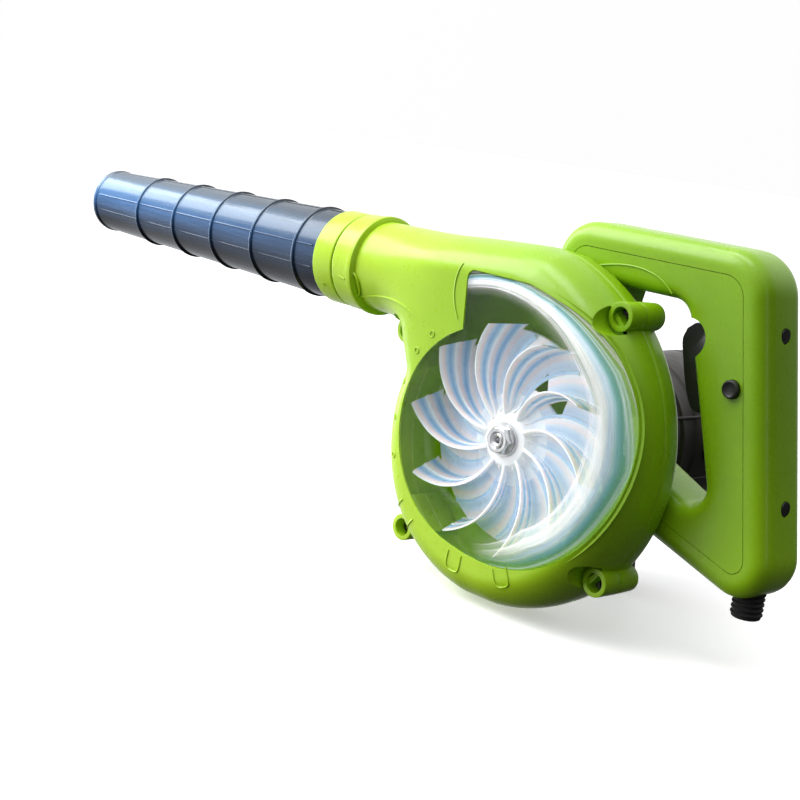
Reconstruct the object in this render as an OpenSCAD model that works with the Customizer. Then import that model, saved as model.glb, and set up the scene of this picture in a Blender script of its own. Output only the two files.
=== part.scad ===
// Corded electric hand blower: a scroll fan casing with a tapered nozzle,
// a motor behind the fan and a D-shaped handle with a trigger.
// Working frame: X rearwards, Y from the intake towards the motor, Z up,
// with the fan axis along Y through x = 0, z = 0 and the intake rim at y = 0.
// place() moves everything so that the origin is at the middle of the base.

/* [Scroll casing] */
// Radius of the scroll where the tongue starts
scroll_r = 69.8; // [66:0.2:74]
// Growth of the scroll radius in mm per radian
scroll_growth = 5.7; // [4.8:0.1:6.2]
// Depth at which the two casing halves meet
seam_y = 29.4; // [28.5:0.1:30.5]
// Depth of the back face of the casing
back_y = 45.2; // [44.5:0.1:46]
// Wall thickness of the casing
wall = 2.5; // [2:0.1:3]
// Radius of the air intake eye
eye_r = 34; // [28:0.5:36]

/* [Outlet and nozzle] */
// Height of the outlet axis above the fan axis
duct_z = 71.9; // [70:0.1:74]
// Outer radius of the outlet stub
duct_r = 25; // [24:0.1:26]
// End of the outlet stub
stub_x = -127.5; // [-135:0.5:-120]
// Radius of the rings around the outlet
ring_r = 27; // [26.5:0.1:28]
// Tip of the nozzle
tip_x = -376.5; // [-400:0.5:-350]
// Outer radius at the tip of the nozzle
tip_r = 19.4; // [18:0.1:22]
// Bore radius at the tip of the nozzle
tip_bore_r = 17.2; // [15:0.1:18]
// Number of raised rings on the nozzle
rib_count = 5; // [3:1:6]
// Distance between raised rings
rib_step = 40.3; // [36:0.1:42]

/* [Fan] */
// Outer radius of the fan
fan_r = 60; // [56:0.5:61]
// Number of main blades
blade_count = 10; // [8:1:12]
// Angle by which a blade lags from hub to tip
blade_lag = 34; // [25:1:38]
// Front edge of the blades at the tip
fan_y = 11.4; // [10:0.1:12]

/* [Motor] */
// Outer radius of the motor housing
motor_r = 45; // [44:0.5:46]
// Back face of the motor end cap
motor_end_y = 185; // [182:1:190]
// Radius of the motor shaft
shaft_r = 4; // [3.8:0.1:4.2]

/* [Handle] */
// Back face of the handle
handle_y = 79.2; // [76:0.2:82]
// Thickness of the outer handle cover
cover_t = 12.5; // [11:0.5:13]
// Height of the top of the handle above the fan axis
handle_top = 117; // [115:0.5:119]
// Width of the trigger
trigger_w = 24; // [22:0.5:24.4]

/* [Hidden] */
$fn = 48;

e = 0.01;
tongue_angle = 110;
floor_z = -85.4;
face_y = 2;
bore_r = duct_r - wall;
tube_end_x = -40;
box_start_x = -80;
nozzle_x = -144.2;
ring_gap = 1.1;
lug_r = bore_r + 1.1;
hub_r = 14;
hub_y = 22.2;
disc_r = 49;
fan_back_y = 37;
bearing_y = 45.5;
housing_end_y = 165;
tower_r = 7.3;
tower_y = 17.6;
tower_bore_r = 4.9;
screw_seat_y = 26.4;
handle_fit_r = 51;
pin_r = 2;
cord_x = 134;
grip_y = 62;
button_place = [115, 52];
motor_bore = motor_r - 2.7;
lug_places = [for (a = [45:90:315]) 49.5 * [cos(a), sin(a)]];
cap_screw_places = [for (a = [45:90:315]) 37.5 * [cos(a), sin(a)]];
cap_recess = 1.6;
handle_front = back_y;
handle_wall = 2.6;
pivot = [100, 86];
// Handle screws: [height, x of the head's seat, x of the screw's end]
handle_screw_places = [[80, 126.8, 107], [0, 143.3, 123.5]];
corner_x = 131;
corner_r = 19;
max_x = corner_x + corner_r;
lime = [0.55, 0.78, 0.12];
black = [0.05, 0.06, 0.08];
steel = [0.72, 0.73, 0.75];
copper = [0.72, 0.38, 0.18];
white = [0.93, 0.95, 0.97];

// ---- placing and drawing helpers ----
module place()
    translate([-(tip_x + max_x) / 2, -motor_end_y / 2, -floor_z]) children();

module slab(y0, y1)
    translate([0, y1, 0]) rotate([90, 0, 0]) linear_extrude(height = y1 - y0) children();

module rod_y(r, y0, y1, x = 0, z = 0)
    translate([x, y1, z]) rotate([90, 0, 0]) cylinder(r = r, h = y1 - y0);

module tube_y(r, bore, y0, y1, x = 0, z = 0)
    difference() {
        rod_y(r, y0, y1, x, z);
        rod_y(bore, y0 - e, y1 + e, x, z);
    }

module rod_x(r, x0, x1, r2 = undef)
    translate([x0, seam_y, duct_z]) rotate([0, 90, 0])
        cylinder(r1 = r, r2 = is_undef(r2) ? r : r2, h = x1 - x0);

module tube_x(r, bore, x0, x1)
    difference() {
        rod_x(r, x0, x1);
        rod_x(bore, x0 - e, x1 + e);
    }

module box(x0, x1, y0, y1, z0, z1)
    translate([x0, y0, z0]) cube([x1 - x0, y1 - y0, z1 - z0]);

// A turned shape: a profile of [radius, y] points spun about the fan axis
module spin(points)
    rotate([-90, 0, 0]) rotate_extrude() polygon([for (p = points) [p[0], p[1]]]);

function arc(c, r, a0, a1, n = 10) =
    [for (k = [0:n]) let (a = a0 + (a1 - a0) * k / n) [c[0] + r * cos(a), c[1] + r * sin(a)]];

function reversed(list) = [for (k = [len(list) - 1:-1:0]) list[k]];

// ---- coil springs, swept along a helix ----
function spring_ring(r, wire, a, h, sides) =
    [for (k = [0:sides - 1]) let (b = 360 * k / sides, q = r + wire * cos(b))
        [q * cos(a), q * sin(a), h + wire * sin(b)]];

module coil_spring(r, wire, length, turns) {
    sides = 5;
    steps = 9;
    count = turns * steps;
    rise = length - 2 * wire;
    points = [for (s = [0:count]) each
        spring_ring(r, wire, 360 * s / steps, wire + rise * s / count, sides)];
    walls = [for (s = [0:count - 1], k = [0:sides - 1])
        let (m = (k + 1) % sides, p = s * sides, q = p + sides)
            each [[q + k, q + m, p + m], [q + k, p + m, p + k]]];
    first = [for (k = [sides - 1:-1:0]) k];
    last = [for (k = [0:sides - 1]) count * sides + k];
    polyhedron(points, concat([first], walls, [last]));
}

// ---- outlines of the scroll, seen from the intake side ----
function scroll_at(a) = scroll_r + scroll_growth * (a - tongue_angle) * PI / 180;

function spiral_point(a, inset) =
    let (r = scroll_at(a) - inset) [r * cos(a), max(r * sin(a), floor_z + inset)];

function outline(inset) = concat(
    [for (a = [162:6:438]) spiral_point(a, inset)],
    [[-30, duct_z + 27.2 - inset], [box_start_x, duct_z + 26 - inset],
     [box_start_x, duct_z - duct_r + inset], [-74 + 0.8 * inset, 37 + 0.4 * inset]]);

function window_r(a) = lookup(a, [[112, 58], [250, 59], [300, 68], [350, 80], [440, 87]]);

function window(grow) = concat(
    [for (a = [112:6:436]) (window_r(a) + grow) * [cos(a), sin(a)]],
    [[-25 - grow, 84 + grow]]);

// Steps of [first y, last y, inset] that round the front half of the casing
front_steps = [[face_y, 5, 11], [5, 10, 7], [10, 18, 3], [18, seam_y, 0]];
rear_steps = [[seam_y, 40, 0], [40, back_y, 3]];

// Screw towers: [x, z] on the rim of the scroll
towers = [[64.4, 77], [74.6, -53.4], [-59.8, -64.1], [-77, 42.5]];

module tower(p, y0, y1) {
    tilt = atan2(p[1], p[0]);
    rod_y(tower_r, y0, y1, p[0], p[1]);
    rotate([0, -tilt, 0]) box(norm(p) - 13, norm(p), y0 + 1, y1, -5, 5);
}

module bayonet_room() {
    rod_x(lug_r + 0.3, -121, -115);
    intersection() {
        rod_x(lug_r + 0.3, -130, -118);
        translate([-130, seam_y, duct_z]) rotate([40, 0, 0])
            translate([0, -5, -30]) cube([12, 10, 60]);
    }
}

// ---- casing ----
module front_cover() color(lime) place() difference() {
    union() {
        difference() {
            union() {
                for (s = front_steps) slab(s[0], s[1]) polygon(outline(s[2]));
                intersection() {
                    rod_x(duct_r, stub_x, tube_end_x);
                    box(-200, 0, 0, seam_y, 0, 200);
                }
            }
            for (s = front_steps)
                slab(s[0] + wall, min(s[1] + wall, seam_y + e)) polygon(outline(s[2] + wall + 0.5));
        }
        for (p = towers) tower(p, tower_y, seam_y);
    }
    slab(0, face_y + wall + e) polygon(window(0));
    rod_x(bore_r, -140, tube_end_x - wall);
    bayonet_room();
    for (p = towers) {
        rod_y(tower_bore_r, 17, screw_seat_y, p[0], p[1]);
        rod_y(2.3, screw_seat_y - e, seam_y + e, p[0], p[1]);
    }
}

module clear_shroud() color([0.85, 0.95, 0.98, 0.4]) place() difference() {
    union() {
        slab(face_y, 4.6) polygon(window(-0.25));
        slab(4.6, 6.4) intersection() {
            polygon(window(2));
            polygon(outline(14.3));
        }
        rod_y(eye_r + 3, 0, 4.6);
    }
    rod_y(eye_r, -1, 8);
}

module rear_shell() color(lime) place() difference() {
    union() {
        difference() {
            union() {
                for (s = rear_steps) slab(s[0], s[1]) polygon(outline(s[2]));
                intersection() {
                    rod_x(duct_r, stub_x, tube_end_x);
                    box(-200, 0, seam_y, 80, 0, 200);
                }
            }
            slab(seam_y - e, 37.5) polygon(outline(wall + 0.5));
            slab(37, back_y - wall) polygon(outline(wall + 3));
            rod_x(bore_r, -140, tube_end_x - wall);
        }
        for (p = towers) tower(p, seam_y, 45);
        rod_y(14.5, back_y - wall, 53);
    }
    bayonet_room();
    rod_y(7, 40, 60);
    rod_y(11, bearing_y, 60);
    for (p = towers) rod_y(2, seam_y - e, 42, p[0], p[1]);
    for (p = lug_places) rod_y(1.6, 40, 50, p[0], p[1]);
}

module outlet_collar() color(lime) place() union() {
    tube_x(ring_r, duct_r, stub_x, -113);
    tube_x(ring_r + 0.8, duct_r, -113, -110.5);
}

module outlet_seal() color(black) place() tube_x(duct_r + 0.8, bore_r + 0.4, stub_x - 0.8, stub_x);

module housing_screws() color(steel) place() for (p = towers) difference() {
    union() {
        rod_y(3.9, screw_seat_y - 3, screw_seat_y, p[0], p[1]);
        rod_y(1.95, screw_seat_y, 41, p[0], p[1]);
    }
    box(p[0] - 2.5, p[0] + 2.5, 23, screw_seat_y - 1.6, p[1] - 0.5, p[1] + 0.5);
    box(p[0] - 0.5, p[0] + 0.5, 23, screw_seat_y - 1.6, p[1] - 2.5, p[1] + 2.5);
}

// ---- nozzle, which turns in the outlet on two bayonet lugs ----
module nozzle_lugs() intersection() {
    tube_x(lug_r, bore_r - 1, -120, -116);
    translate([-125, seam_y - 3.5, duct_z - 30]) cube([15, 7, 60]);
}

function nozzle_r(x) = tip_r + (25.6 - tip_r) * (x - tip_x) / (nozzle_x - tip_x);

module nozzle() color(black) place() difference() {
    union() {
        rod_x(nozzle_r(tip_x), tip_x, nozzle_x, nozzle_r(nozzle_x));
        rod_x(tip_r + 0.6, tip_x, tip_x + 3);
        for (k = [0:rib_count - 1]) let (x = -324 + rib_step * k)
            rod_x(nozzle_r(x) + 0.9, x - 0.9, x + 0.9);
        rod_x(24, nozzle_x - e, stub_x - ring_gap);
        rod_x(bore_r - 0.3, stub_x - ring_gap - e, -113);
        nozzle_lugs();
    }
    rod_x(tip_bore_r, tip_x - 1, tip_x + 14);
    rod_x(tip_bore_r, tip_x + 13.9, nozzle_x, 20);
    rod_x(20, nozzle_x - e, -112);
}

module nozzle_ring() color(lime) place() tube_x(ring_r - 0.4, 24, nozzle_x, stub_x - ring_gap);

// ---- fan and rotor ----
function blade_angle(r) = blade_lag * (1 - pow(max(r - hub_r, 0) / (fan_r - hub_r), 1.6));

function blade_side(shift) =
    [for (r = [hub_r - 2:4:fan_r + 2])
        let (a = blade_angle(r) + shift / r * 180 / PI) r * [cos(a), sin(a)]];

module blades() for (k = [0:blade_count - 1])
    rotate([0, -102.5 - 360 / blade_count * k, 0])
        slab(fan_y - 2, fan_back_y) polygon(concat(blade_side(-0.9), reversed(blade_side(0.9))));

module impeller() color(white) place() difference() {
    union() {
        spin([[0, hub_y], [hub_r, hub_y], [hub_r + 3, 27], [disc_r, 34], [disc_r, 36],
            [16, 31], [10, fan_back_y + 1], [0, fan_back_y + 1]]);
        intersection() {
            blades();
            spin([[hub_r - 1, hub_y + 1], [fan_r, fan_y], [fan_r, 31],
                [disc_r - 1, 35.2], [hub_r - 1, 30]]);
        }
    }
    rod_y(shaft_r, 10, 45);
}

module impeller_nut() color(steel) place() difference() {
    translate([0, 21, 0]) rotate([90, 30, 0]) cylinder(r = 7.5, h = 5, $fn = 6);
    rod_y(shaft_r, 10, 30);
}

module impeller_washer() color(steel) place() tube_y(9, shaft_r, 21, hub_y);

module impeller_sleeve() color(steel) place() tube_y(6, shaft_r, fan_back_y + 1, bearing_y - 0.1);

module motor_shaft() color(steel) place() union() {
    rod_y(shaft_r, 17.2, 154);
    rod_y(shaft_r - 1, 154, 166);
}

module front_bearing() color(steel) place() tube_y(11, shaft_r + 0.05, bearing_y, 52.5);

module rear_bearing() color(steel) place() tube_y(9.5, shaft_r - 0.95, 157, 163);

module cooling_fan() color(black) place() difference() {
    union() {
        rod_y(9, 60, 72);
        rod_y(34, 70, 72);
        for (a = [0:36:324]) rotate([0, a, 0]) box(8, 34, 60, 70.5, -0.8, 0.8);
    }
    rod_y(shaft_r, 59, 73);
}

module armature_core() color(steel) place() difference() {
    rod_y(22, 84, 124);
    rod_y(shaft_r, 83, 125);
    for (a = [0:30:330]) rotate([0, a, 0]) box(15, 23, 83, 125, -1.3, 1.3);
}

module armature_windings() color(copper) place() for (s = [[75, 84], [124, 133]])
    tube_y(19.5, shaft_r, s[0], s[1]);

module commutator() color(copper) place() difference() {
    tube_y(13, shaft_r, 137, 151);
    for (a = [0:20:340]) rotate([0, a, 0]) box(12.3, 14, 136, 152, -0.3, 0.3);
}

// ---- motor stator and housing ----
module motor_housing() color(black) place() difference() {
    union() {
        rod_y(motor_r, back_y, housing_end_y);
        for (p = lug_places) rod_y(5, back_y, 50, p[0], p[1]);
    }
    rod_y(motor_bore, back_y - e, housing_end_y + e);
    for (p = lug_places) rod_y(1.6, 40, 60, p[0], p[1]);
    for (s = [-1, 1]) translate([0, 144, 0]) rotate([0, 90 * s, 0]) cylinder(r = 6, h = 60);
}

module motor_end_cap() color(black) place() difference() {
    union() {
        rod_y(motor_r, housing_end_y, 178);
        spin([[0, 177], [motor_r, 177], [motor_r - 1, 181], [motor_r - 5, motor_end_y], [0, motor_end_y]]);
    }
    rod_y(motor_bore, housing_end_y - e, 182);
    for (a = [0:15:345]) rotate([0, a, 0]) box(14, 34, 170, 190, -1.4, 1.4);
    for (p = cap_screw_places) {
        rod_y(2, 170, 195, p[0], p[1]);
        rod_y(3.6, motor_end_y - cap_recess, 195, p[0], p[1]);
    }
}

module motor_screws() color(steel) place() for (p = lug_places) {
    rod_y(3, 50, 52.5, p[0], p[1]);
    rod_y(1.55, 43.4, 50, p[0], p[1]);
}

module cap_screws() color(steel) place() for (p = cap_screw_places) {
    rod_y(3.4, motor_end_y - cap_recess, motor_end_y - 0.3, p[0], p[1]);
    rod_y(1.95, 159.5, motor_end_y - cap_recess, p[0], p[1]);
}

module field_core() color(steel) place() slab(84, 124) difference() {
    circle(r = motor_bore - 0.1);
    circle(r = 22.8);
    intersection() {
        circle(r = 34);
        square([80, 28], center = true);
    }
}

module field_coils() color(copper) place() for (s = [-1, 1]) {
    for (t = [-1, 1]) translate([t * 27, 0, s * 8]) box(-2.6, 2.6, 82, 126, -4.6, 4.6);
    for (y = [76, 126]) slab(y, y + 6) intersection() {
        difference() {
            circle(r = 34);
            circle(r = 23);
        }
        translate([-40, s > 0 ? 3.4 : -43.4]) square([80, 40]);
    }
}

module bearing_bracket() color([0.6, 0.62, 0.64]) place() difference() {
    union() {
        rod_y(motor_bore, 160, 163);
        rod_y(13, 156, 164);
    }
    rod_y(9.5, 157, 163);
    rod_y(6, 150, 170);
    rod_y(9.5, 150, 158);
    for (a = [0:90:270]) rotate([0, a + 22.5, 0]) box(17, 36, 158, 166, -9, 9);
    for (p = cap_screw_places) rod_y(1.95, 150, 170, p[0], p[1]);
}

module brush_holders() color([0.8, 0.65, 0.3]) place() for (s = [-1, 1]) scale([s, 1, 1]) difference() {
    box(15, 41.8, 138.5, 149.5, -4.5, 4.5);
    box(14, 43, 140.3, 147.7, -2.7, 2.7);
}

module carbon_brushes() color([0.12, 0.12, 0.13]) place() for (s = [-1, 1])
    scale([s, 1, 1]) box(13.3, 27, 140.5, 147.5, -2.5, 2.5);

module brush_springs() color(steel) place() for (s = [-1, 1])
    translate([s * 27, 144, 0]) rotate([0, 90 * s, 0]) coil_spring(1.9, 0.3, 14.7, 5);

module brush_caps() color(black) place() for (s = [-1, 1]) difference() {
    translate([0, 144, 0]) rotate([0, 90 * s, 0]) translate([0, 0, 41.8]) cylinder(r = 5.9, h = 4.4);
    translate([s * 46, 144, 0]) box(-0.8, 0.8, -4, 4, -0.6, 0.6);
}

// ---- handle: a D-shaped loop, split along its middle ----
function loop_outer(inset) = concat(
    arc([16, handle_top - 22], 22 - inset, 175, 90),
    arc([101, handle_top - 24], 24 - inset, 90, 11.7),
    arc([corner_x, -27.5], corner_r - inset, 11.7, -108.5),
    [[52 + 0.317 * inset, -21.3 + 0.948 * inset]]);

function loop_inner(inset) = concat(
    [[26, 87.5 + inset]],
    arc([71, 75.5], 12 + inset, 90, 18.2),
    arc([98.8, 0.4], 9 + inset, 18.2, -114.7),
    [[52, 12 - inset]]);

module loop_body(inset)
    polygon(concat(loop_outer(cover_t + 0.05 - (inset > 0 ? 1 : 0)), reversed(loop_inner(inset))));

module handle_root(inset)
    polygon([[7 + inset, 97], [7 + inset, 64 + inset], [33 - inset, 64 + inset],
        [38 - inset, 90], [33, 97]]);

// The trigger's side view: a paddle and the arm that reaches its pivot
module trigger_profile(grow) {
    translate([86, 71]) circle(r = 8 + grow);
    polygon([[78 - grow, 71], [83 - grow, 52], [91 - grow, 35 - grow], [101 + grow, 36 - grow],
        [103 + grow, 48], [96 + grow, 74]]);
}

module handle_body() color(lime) place() difference() {
    union() {
        difference() {
            union() {
                slab(handle_front, handle_y) loop_body(0);
                slab(handle_front, handle_y - 8) handle_root(0);
            }
            slab(handle_front + handle_wall, handle_y - handle_wall) intersection() {
                loop_body(handle_wall);
                translate([12, -19]) square([200, 200]);
            }
            slab(handle_front + handle_wall, handle_y - 8 - handle_wall) handle_root(handle_wall);
        }
        for (p = handle_screw_places)
            box(p[2] + 1, p[2] + 6, handle_front + 1, handle_y - 1, p[0] - 4.5, p[0] + 4.5);
    }
    for (p = handle_screw_places)
        translate([p[2], grip_y, p[0]]) rotate([0, 90, 0]) cylinder(r = 2, h = 50);
    rod_y(handle_fit_r, 40, 90);
    box(74, 104, 49.6, 74.8, 32, 82);
    rod_y(9.6, 40, 90, 86, 71);
    rod_y(pin_r, 40, 90, pivot[0], pivot[1]);
    rod_y(4.6, 40, 52, button_place[0], button_place[1]);
    translate([cord_x, grip_y, -60]) cylinder(r = 8, h = 26);
}

module handle_cover() color(lime) place() difference() {
    slab(handle_front, handle_y) polygon(concat(loop_outer(0), reversed(loop_outer(cover_t))));
    slab(handle_front + handle_wall, handle_y - handle_wall) intersection() {
        polygon(concat(loop_outer(handle_wall), reversed(loop_outer(cover_t + 1))));
        translate([4, -60]) square([200, 200]);
    }
    rod_y(handle_fit_r, 40, 90);
    translate([cord_x, grip_y, -60]) cylinder(r = 8, h = 26);
    for (p = handle_screw_places) translate([0, grip_y, p[0]]) rotate([0, 90, 0]) {
        translate([0, 0, p[2]]) cylinder(r = 2.1, h = 50);
        translate([0, 0, p[1]]) cylinder(r = 3.8, h = 50);
    }
}

module handle_screws() color(steel) place() for (p = handle_screw_places)
    translate([p[1], grip_y, p[0]]) rotate([0, 90, 0]) {
        cylinder(r = 3.6, h = 1.6);
        translate([0, 0, p[2] - p[1]]) cylinder(r = 2, h = p[1] - p[2]);
    }

module trigger() color(black) place() difference() {
    union() {
        slab(50.2, 50.2 + trigger_w) trigger_profile(0);
        slab(54, 70) polygon([[88, 70], [103, 60], [105, 86], [95, 88]]);
        rod_y(5, 54, 70, pivot[0], pivot[1]);
    }
    rod_y(pin_r + 0.05, 40, 90, pivot[0], pivot[1]);
}

module trigger_pin() color(steel) place()
    rod_y(pin_r, handle_front + 0.4, handle_y - 0.4, pivot[0], pivot[1]);

module trigger_spring() color(steel) place()
    translate([103.4, grip_y, 45]) rotate([0, 90, 0]) coil_spring(2.6, 0.4, 6.4, 4);

module switch_body() color(black) place() union() {
    box(110, 120.5, 57.5, 70, 38, 68);
    box(112, 119, 59, 68, 68, 72);
}

module lock_button() color(black) place() union() {
    rod_y(4.5, 42.6, 49.8, button_place[0], button_place[1]);
    rod_y(5.6, 48.2, 49.8, button_place[0], button_place[1]);
}

module lock_spring() color(steel) place()
    translate([button_place[0], 49.9, button_place[1]]) rotate([-90, 0, 0]) coil_spring(3, 0.4, 7.4, 4);

module cord_inlet() color(black) place() translate([cord_x, grip_y, 0]) difference() {
    translate([0, 0, -57]) cylinder(r = 8, h = 20);
    translate([0, 0, -58]) cylinder(r = 4.2, h = 24);
}

// ---- stand under the motor ----
module motor_foot() color(black) place() difference() {
    slab(108, 130) difference() {
        polygon([[-34, floor_z + 2], [18, floor_z + 2], [18, floor_z + 8],
            [14, -38], [-24, -34], [-34, floor_z + 8]]);
        polygon([[-28, floor_z + 8], [12, floor_z + 8], [8, -52], [-19, -52]]);
    }
    rod_y(motor_r, 100, 140);
}

module foot_pads() color([0.1, 0.1, 0.1]) place() for (x = [-33, 5])
    box(x, x + 12, 109, 129, floor_z, floor_z + 2);

front_cover();
clear_shroud();
rear_shell();
outlet_collar();
outlet_seal();
housing_screws();
nozzle();
nozzle_ring();
impeller();
impeller_nut();
impeller_washer();
impeller_sleeve();
motor_shaft();
front_bearing();
rear_bearing();
cooling_fan();
armature_core();
armature_windings();
commutator();
motor_housing();
motor_end_cap();
motor_screws();
cap_screws();
field_core();
field_coils();
bearing_bracket();
brush_holders();
carbon_brushes();
brush_springs();
brush_caps();
handle_body();
handle_cover();
handle_screws();
trigger();
trigger_pin();
trigger_spring();
switch_body();
lock_button();
lock_spring();
cord_inlet();
motor_foot();
foot_pads();
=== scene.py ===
"""Looks of the corded hand blower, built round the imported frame.

Shapes are drawn in millimetres with the fan axis at x = 0, z = 0, the intake
rim at y = 0, x rearwards and z up. at() turns such a point into the row frame.
"""
import math

import bmesh
import bpy
import numpy as np
from mathutils import Matrix, Vector


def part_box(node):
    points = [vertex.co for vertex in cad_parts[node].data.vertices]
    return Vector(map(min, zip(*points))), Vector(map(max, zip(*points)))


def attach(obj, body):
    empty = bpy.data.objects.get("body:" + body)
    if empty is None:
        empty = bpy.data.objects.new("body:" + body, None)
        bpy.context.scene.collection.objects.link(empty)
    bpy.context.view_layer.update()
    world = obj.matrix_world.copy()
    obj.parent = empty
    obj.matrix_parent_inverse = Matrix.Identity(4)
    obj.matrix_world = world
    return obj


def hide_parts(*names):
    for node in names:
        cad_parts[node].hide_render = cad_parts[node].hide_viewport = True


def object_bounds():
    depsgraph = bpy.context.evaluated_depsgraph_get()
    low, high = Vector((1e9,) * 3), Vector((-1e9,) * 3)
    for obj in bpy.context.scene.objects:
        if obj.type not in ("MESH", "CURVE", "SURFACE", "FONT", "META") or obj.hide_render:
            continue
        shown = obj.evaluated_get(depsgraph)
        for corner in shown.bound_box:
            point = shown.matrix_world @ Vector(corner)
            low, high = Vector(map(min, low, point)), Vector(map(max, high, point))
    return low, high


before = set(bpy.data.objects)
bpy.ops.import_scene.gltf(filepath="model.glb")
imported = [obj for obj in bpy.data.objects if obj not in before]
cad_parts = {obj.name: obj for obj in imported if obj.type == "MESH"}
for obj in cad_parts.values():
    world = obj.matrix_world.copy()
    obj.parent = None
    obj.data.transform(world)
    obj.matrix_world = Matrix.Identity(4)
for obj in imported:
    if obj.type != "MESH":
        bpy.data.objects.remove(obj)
cad_low, cad_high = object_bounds()

# ---- the working origin, from the frame ----
MM = 0.001
shaft_low, shaft_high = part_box("motor_shaft")
AXIS_X = (shaft_low.x + shaft_high.x) / 2
AXIS_Z = (shaft_low.z + shaft_high.z) / 2
RIM_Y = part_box("clear_shroud")[0].y


def at(x, y, z):
    return Vector((AXIS_X + x * MM, RIM_Y + y * MM, AXIS_Z + z * MM))


def extent(node, axis):
    """Lowest and highest place of a node along an axis, in working millimetres."""
    low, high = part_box(node)
    origin = (AXIS_X, RIM_Y, AXIS_Z)[axis]
    return (low[axis] - origin) / MM, (high[axis] - origin) / MM


def half_height(node):
    low, high = extent(node, 2)
    return (high - low) / 2


# ---- sizes that the frame gives ----
FACE_Y, SEAM_Y = extent("front_cover", 1)
BACK_Y = extent("motor_housing", 1)[0]
FLOOR_Z = extent("front_cover", 2)[0]
DUCT_R = half_height("outlet_seal") - 0.8
STUB_X = extent("outlet_seal", 0)[1]
DUCT_Z = sum(extent("nozzle_ring", 2)) / 2
RING_R = half_height("nozzle_ring")
TIP_X, SPIGOT_X = extent("nozzle", 0)
NOZZLE_X = extent("nozzle_ring", 0)[0]
MOTOR_R = half_height("motor_end_cap")
CAP_Y, MOTOR_END_Y = extent("motor_end_cap", 1)
HANDLE_Y = extent("handle_cover", 1)[1]

# ---- sizes of the casing, as in the CAD source ----
SCROLL_R = 69.8
SCROLL_GROWTH = 5.7  # millimetres of radius for each radian
TONGUE_ANGLE = 110
SCROLL_START, SCROLL_END = 162, 438
ROUND_IN = 18  # width of the rounded front edge
BLOCK_X = -104  # where the round outlet begins
WALL = 2.3
EYE_R = 34
TOWERS = [(64.4, 77), (74.6, -53.4), (-59.8, -64.1), (-77, 42.5)]
GUSSET_REACH = [15, 15, 15, 9]
TOWER_R = 7.3
TOWER_Y = 17.6
TOWER_BORE_R = 4.9
SCREW_SEAT_Y = 26.4
SEAT_R = 9.0
SEAT_Y = 19.6

# ---- sizes of the clear window ----
WINDOW_R = 58
WINDOW_SWELL = 36  # how much farther out it reaches over the air channel
WINDOW_DROP = 7.5  # how much of that it gives back towards the outlet


def smooth(t):
    t = np.clip(t, 0.0, 1.0)
    return t * t * (3 - 2 * t)


def polar(r, degrees):
    a = math.radians(degrees)
    return (r * math.cos(a), r * math.sin(a))


def arc(centre, r, first, last, steps):
    """Points along an arc, in a plane."""
    out = []
    for k in range(steps + 1):
        x, z = polar(r, first + (last - first) * k / steps)
        out.append((centre[0] + x, centre[1] + z))
    return out


def rounded(points, radius, steps=5, closed=True):
    """A polyline with each corner replaced by an arc-like curve. A point may carry its own radius."""
    out, n = [], len(points)
    for k, p in enumerate(points):
        if not closed and k in (0, n - 1):
            out.append(tuple(p[:2]))
            continue
        here = Vector(p[:2])
        before = Vector(points[k - 1][:2]) - here
        after = Vector(points[(k + 1) % n][:2]) - here
        r = p[2] if len(p) > 2 else radius
        cut = min(r, before.length * 0.48, after.length * 0.48)
        a, b = here + before.normalized() * cut, here + after.normalized() * cut
        for s in range(steps + 1):
            t = s / steps
            q = a * (1 - t) ** 2 + here * 2 * t * (1 - t) + b * t * t
            out.append((q.x, q.y))
    return out


def through(points, steps):
    """A smooth Catmull-Rom curve through points of any dimension."""
    pts = [Vector(p) for p in points]
    pts = [pts[0] * 2 - pts[1]] + pts + [pts[-1] * 2 - pts[-2]]
    out = []
    for k in range(1, len(pts) - 2):
        a, b, c, d = pts[k - 1:k + 3]
        for s in range(steps):
            t = s / steps
            out.append(0.5 * (2 * b + (c - a) * t + (2 * a - 5 * b + 4 * c - d) * t * t
                              + (3 * b - a - 3 * c + d) * t ** 3))
    return out + [pts[-2]]


def resampled(points, count):
    """The same polyline with count points evenly spaced along it."""
    pts = np.array([tuple(p) for p in points], float)
    step = np.linalg.norm(np.diff(pts, axis=0), axis=1)
    along = np.concatenate([[0], np.cumsum(step)])
    want = np.linspace(0, along[-1], count)
    return np.stack([np.interp(want, along, pts[:, k]) for k in range(pts.shape[1])], axis=1)


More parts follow.
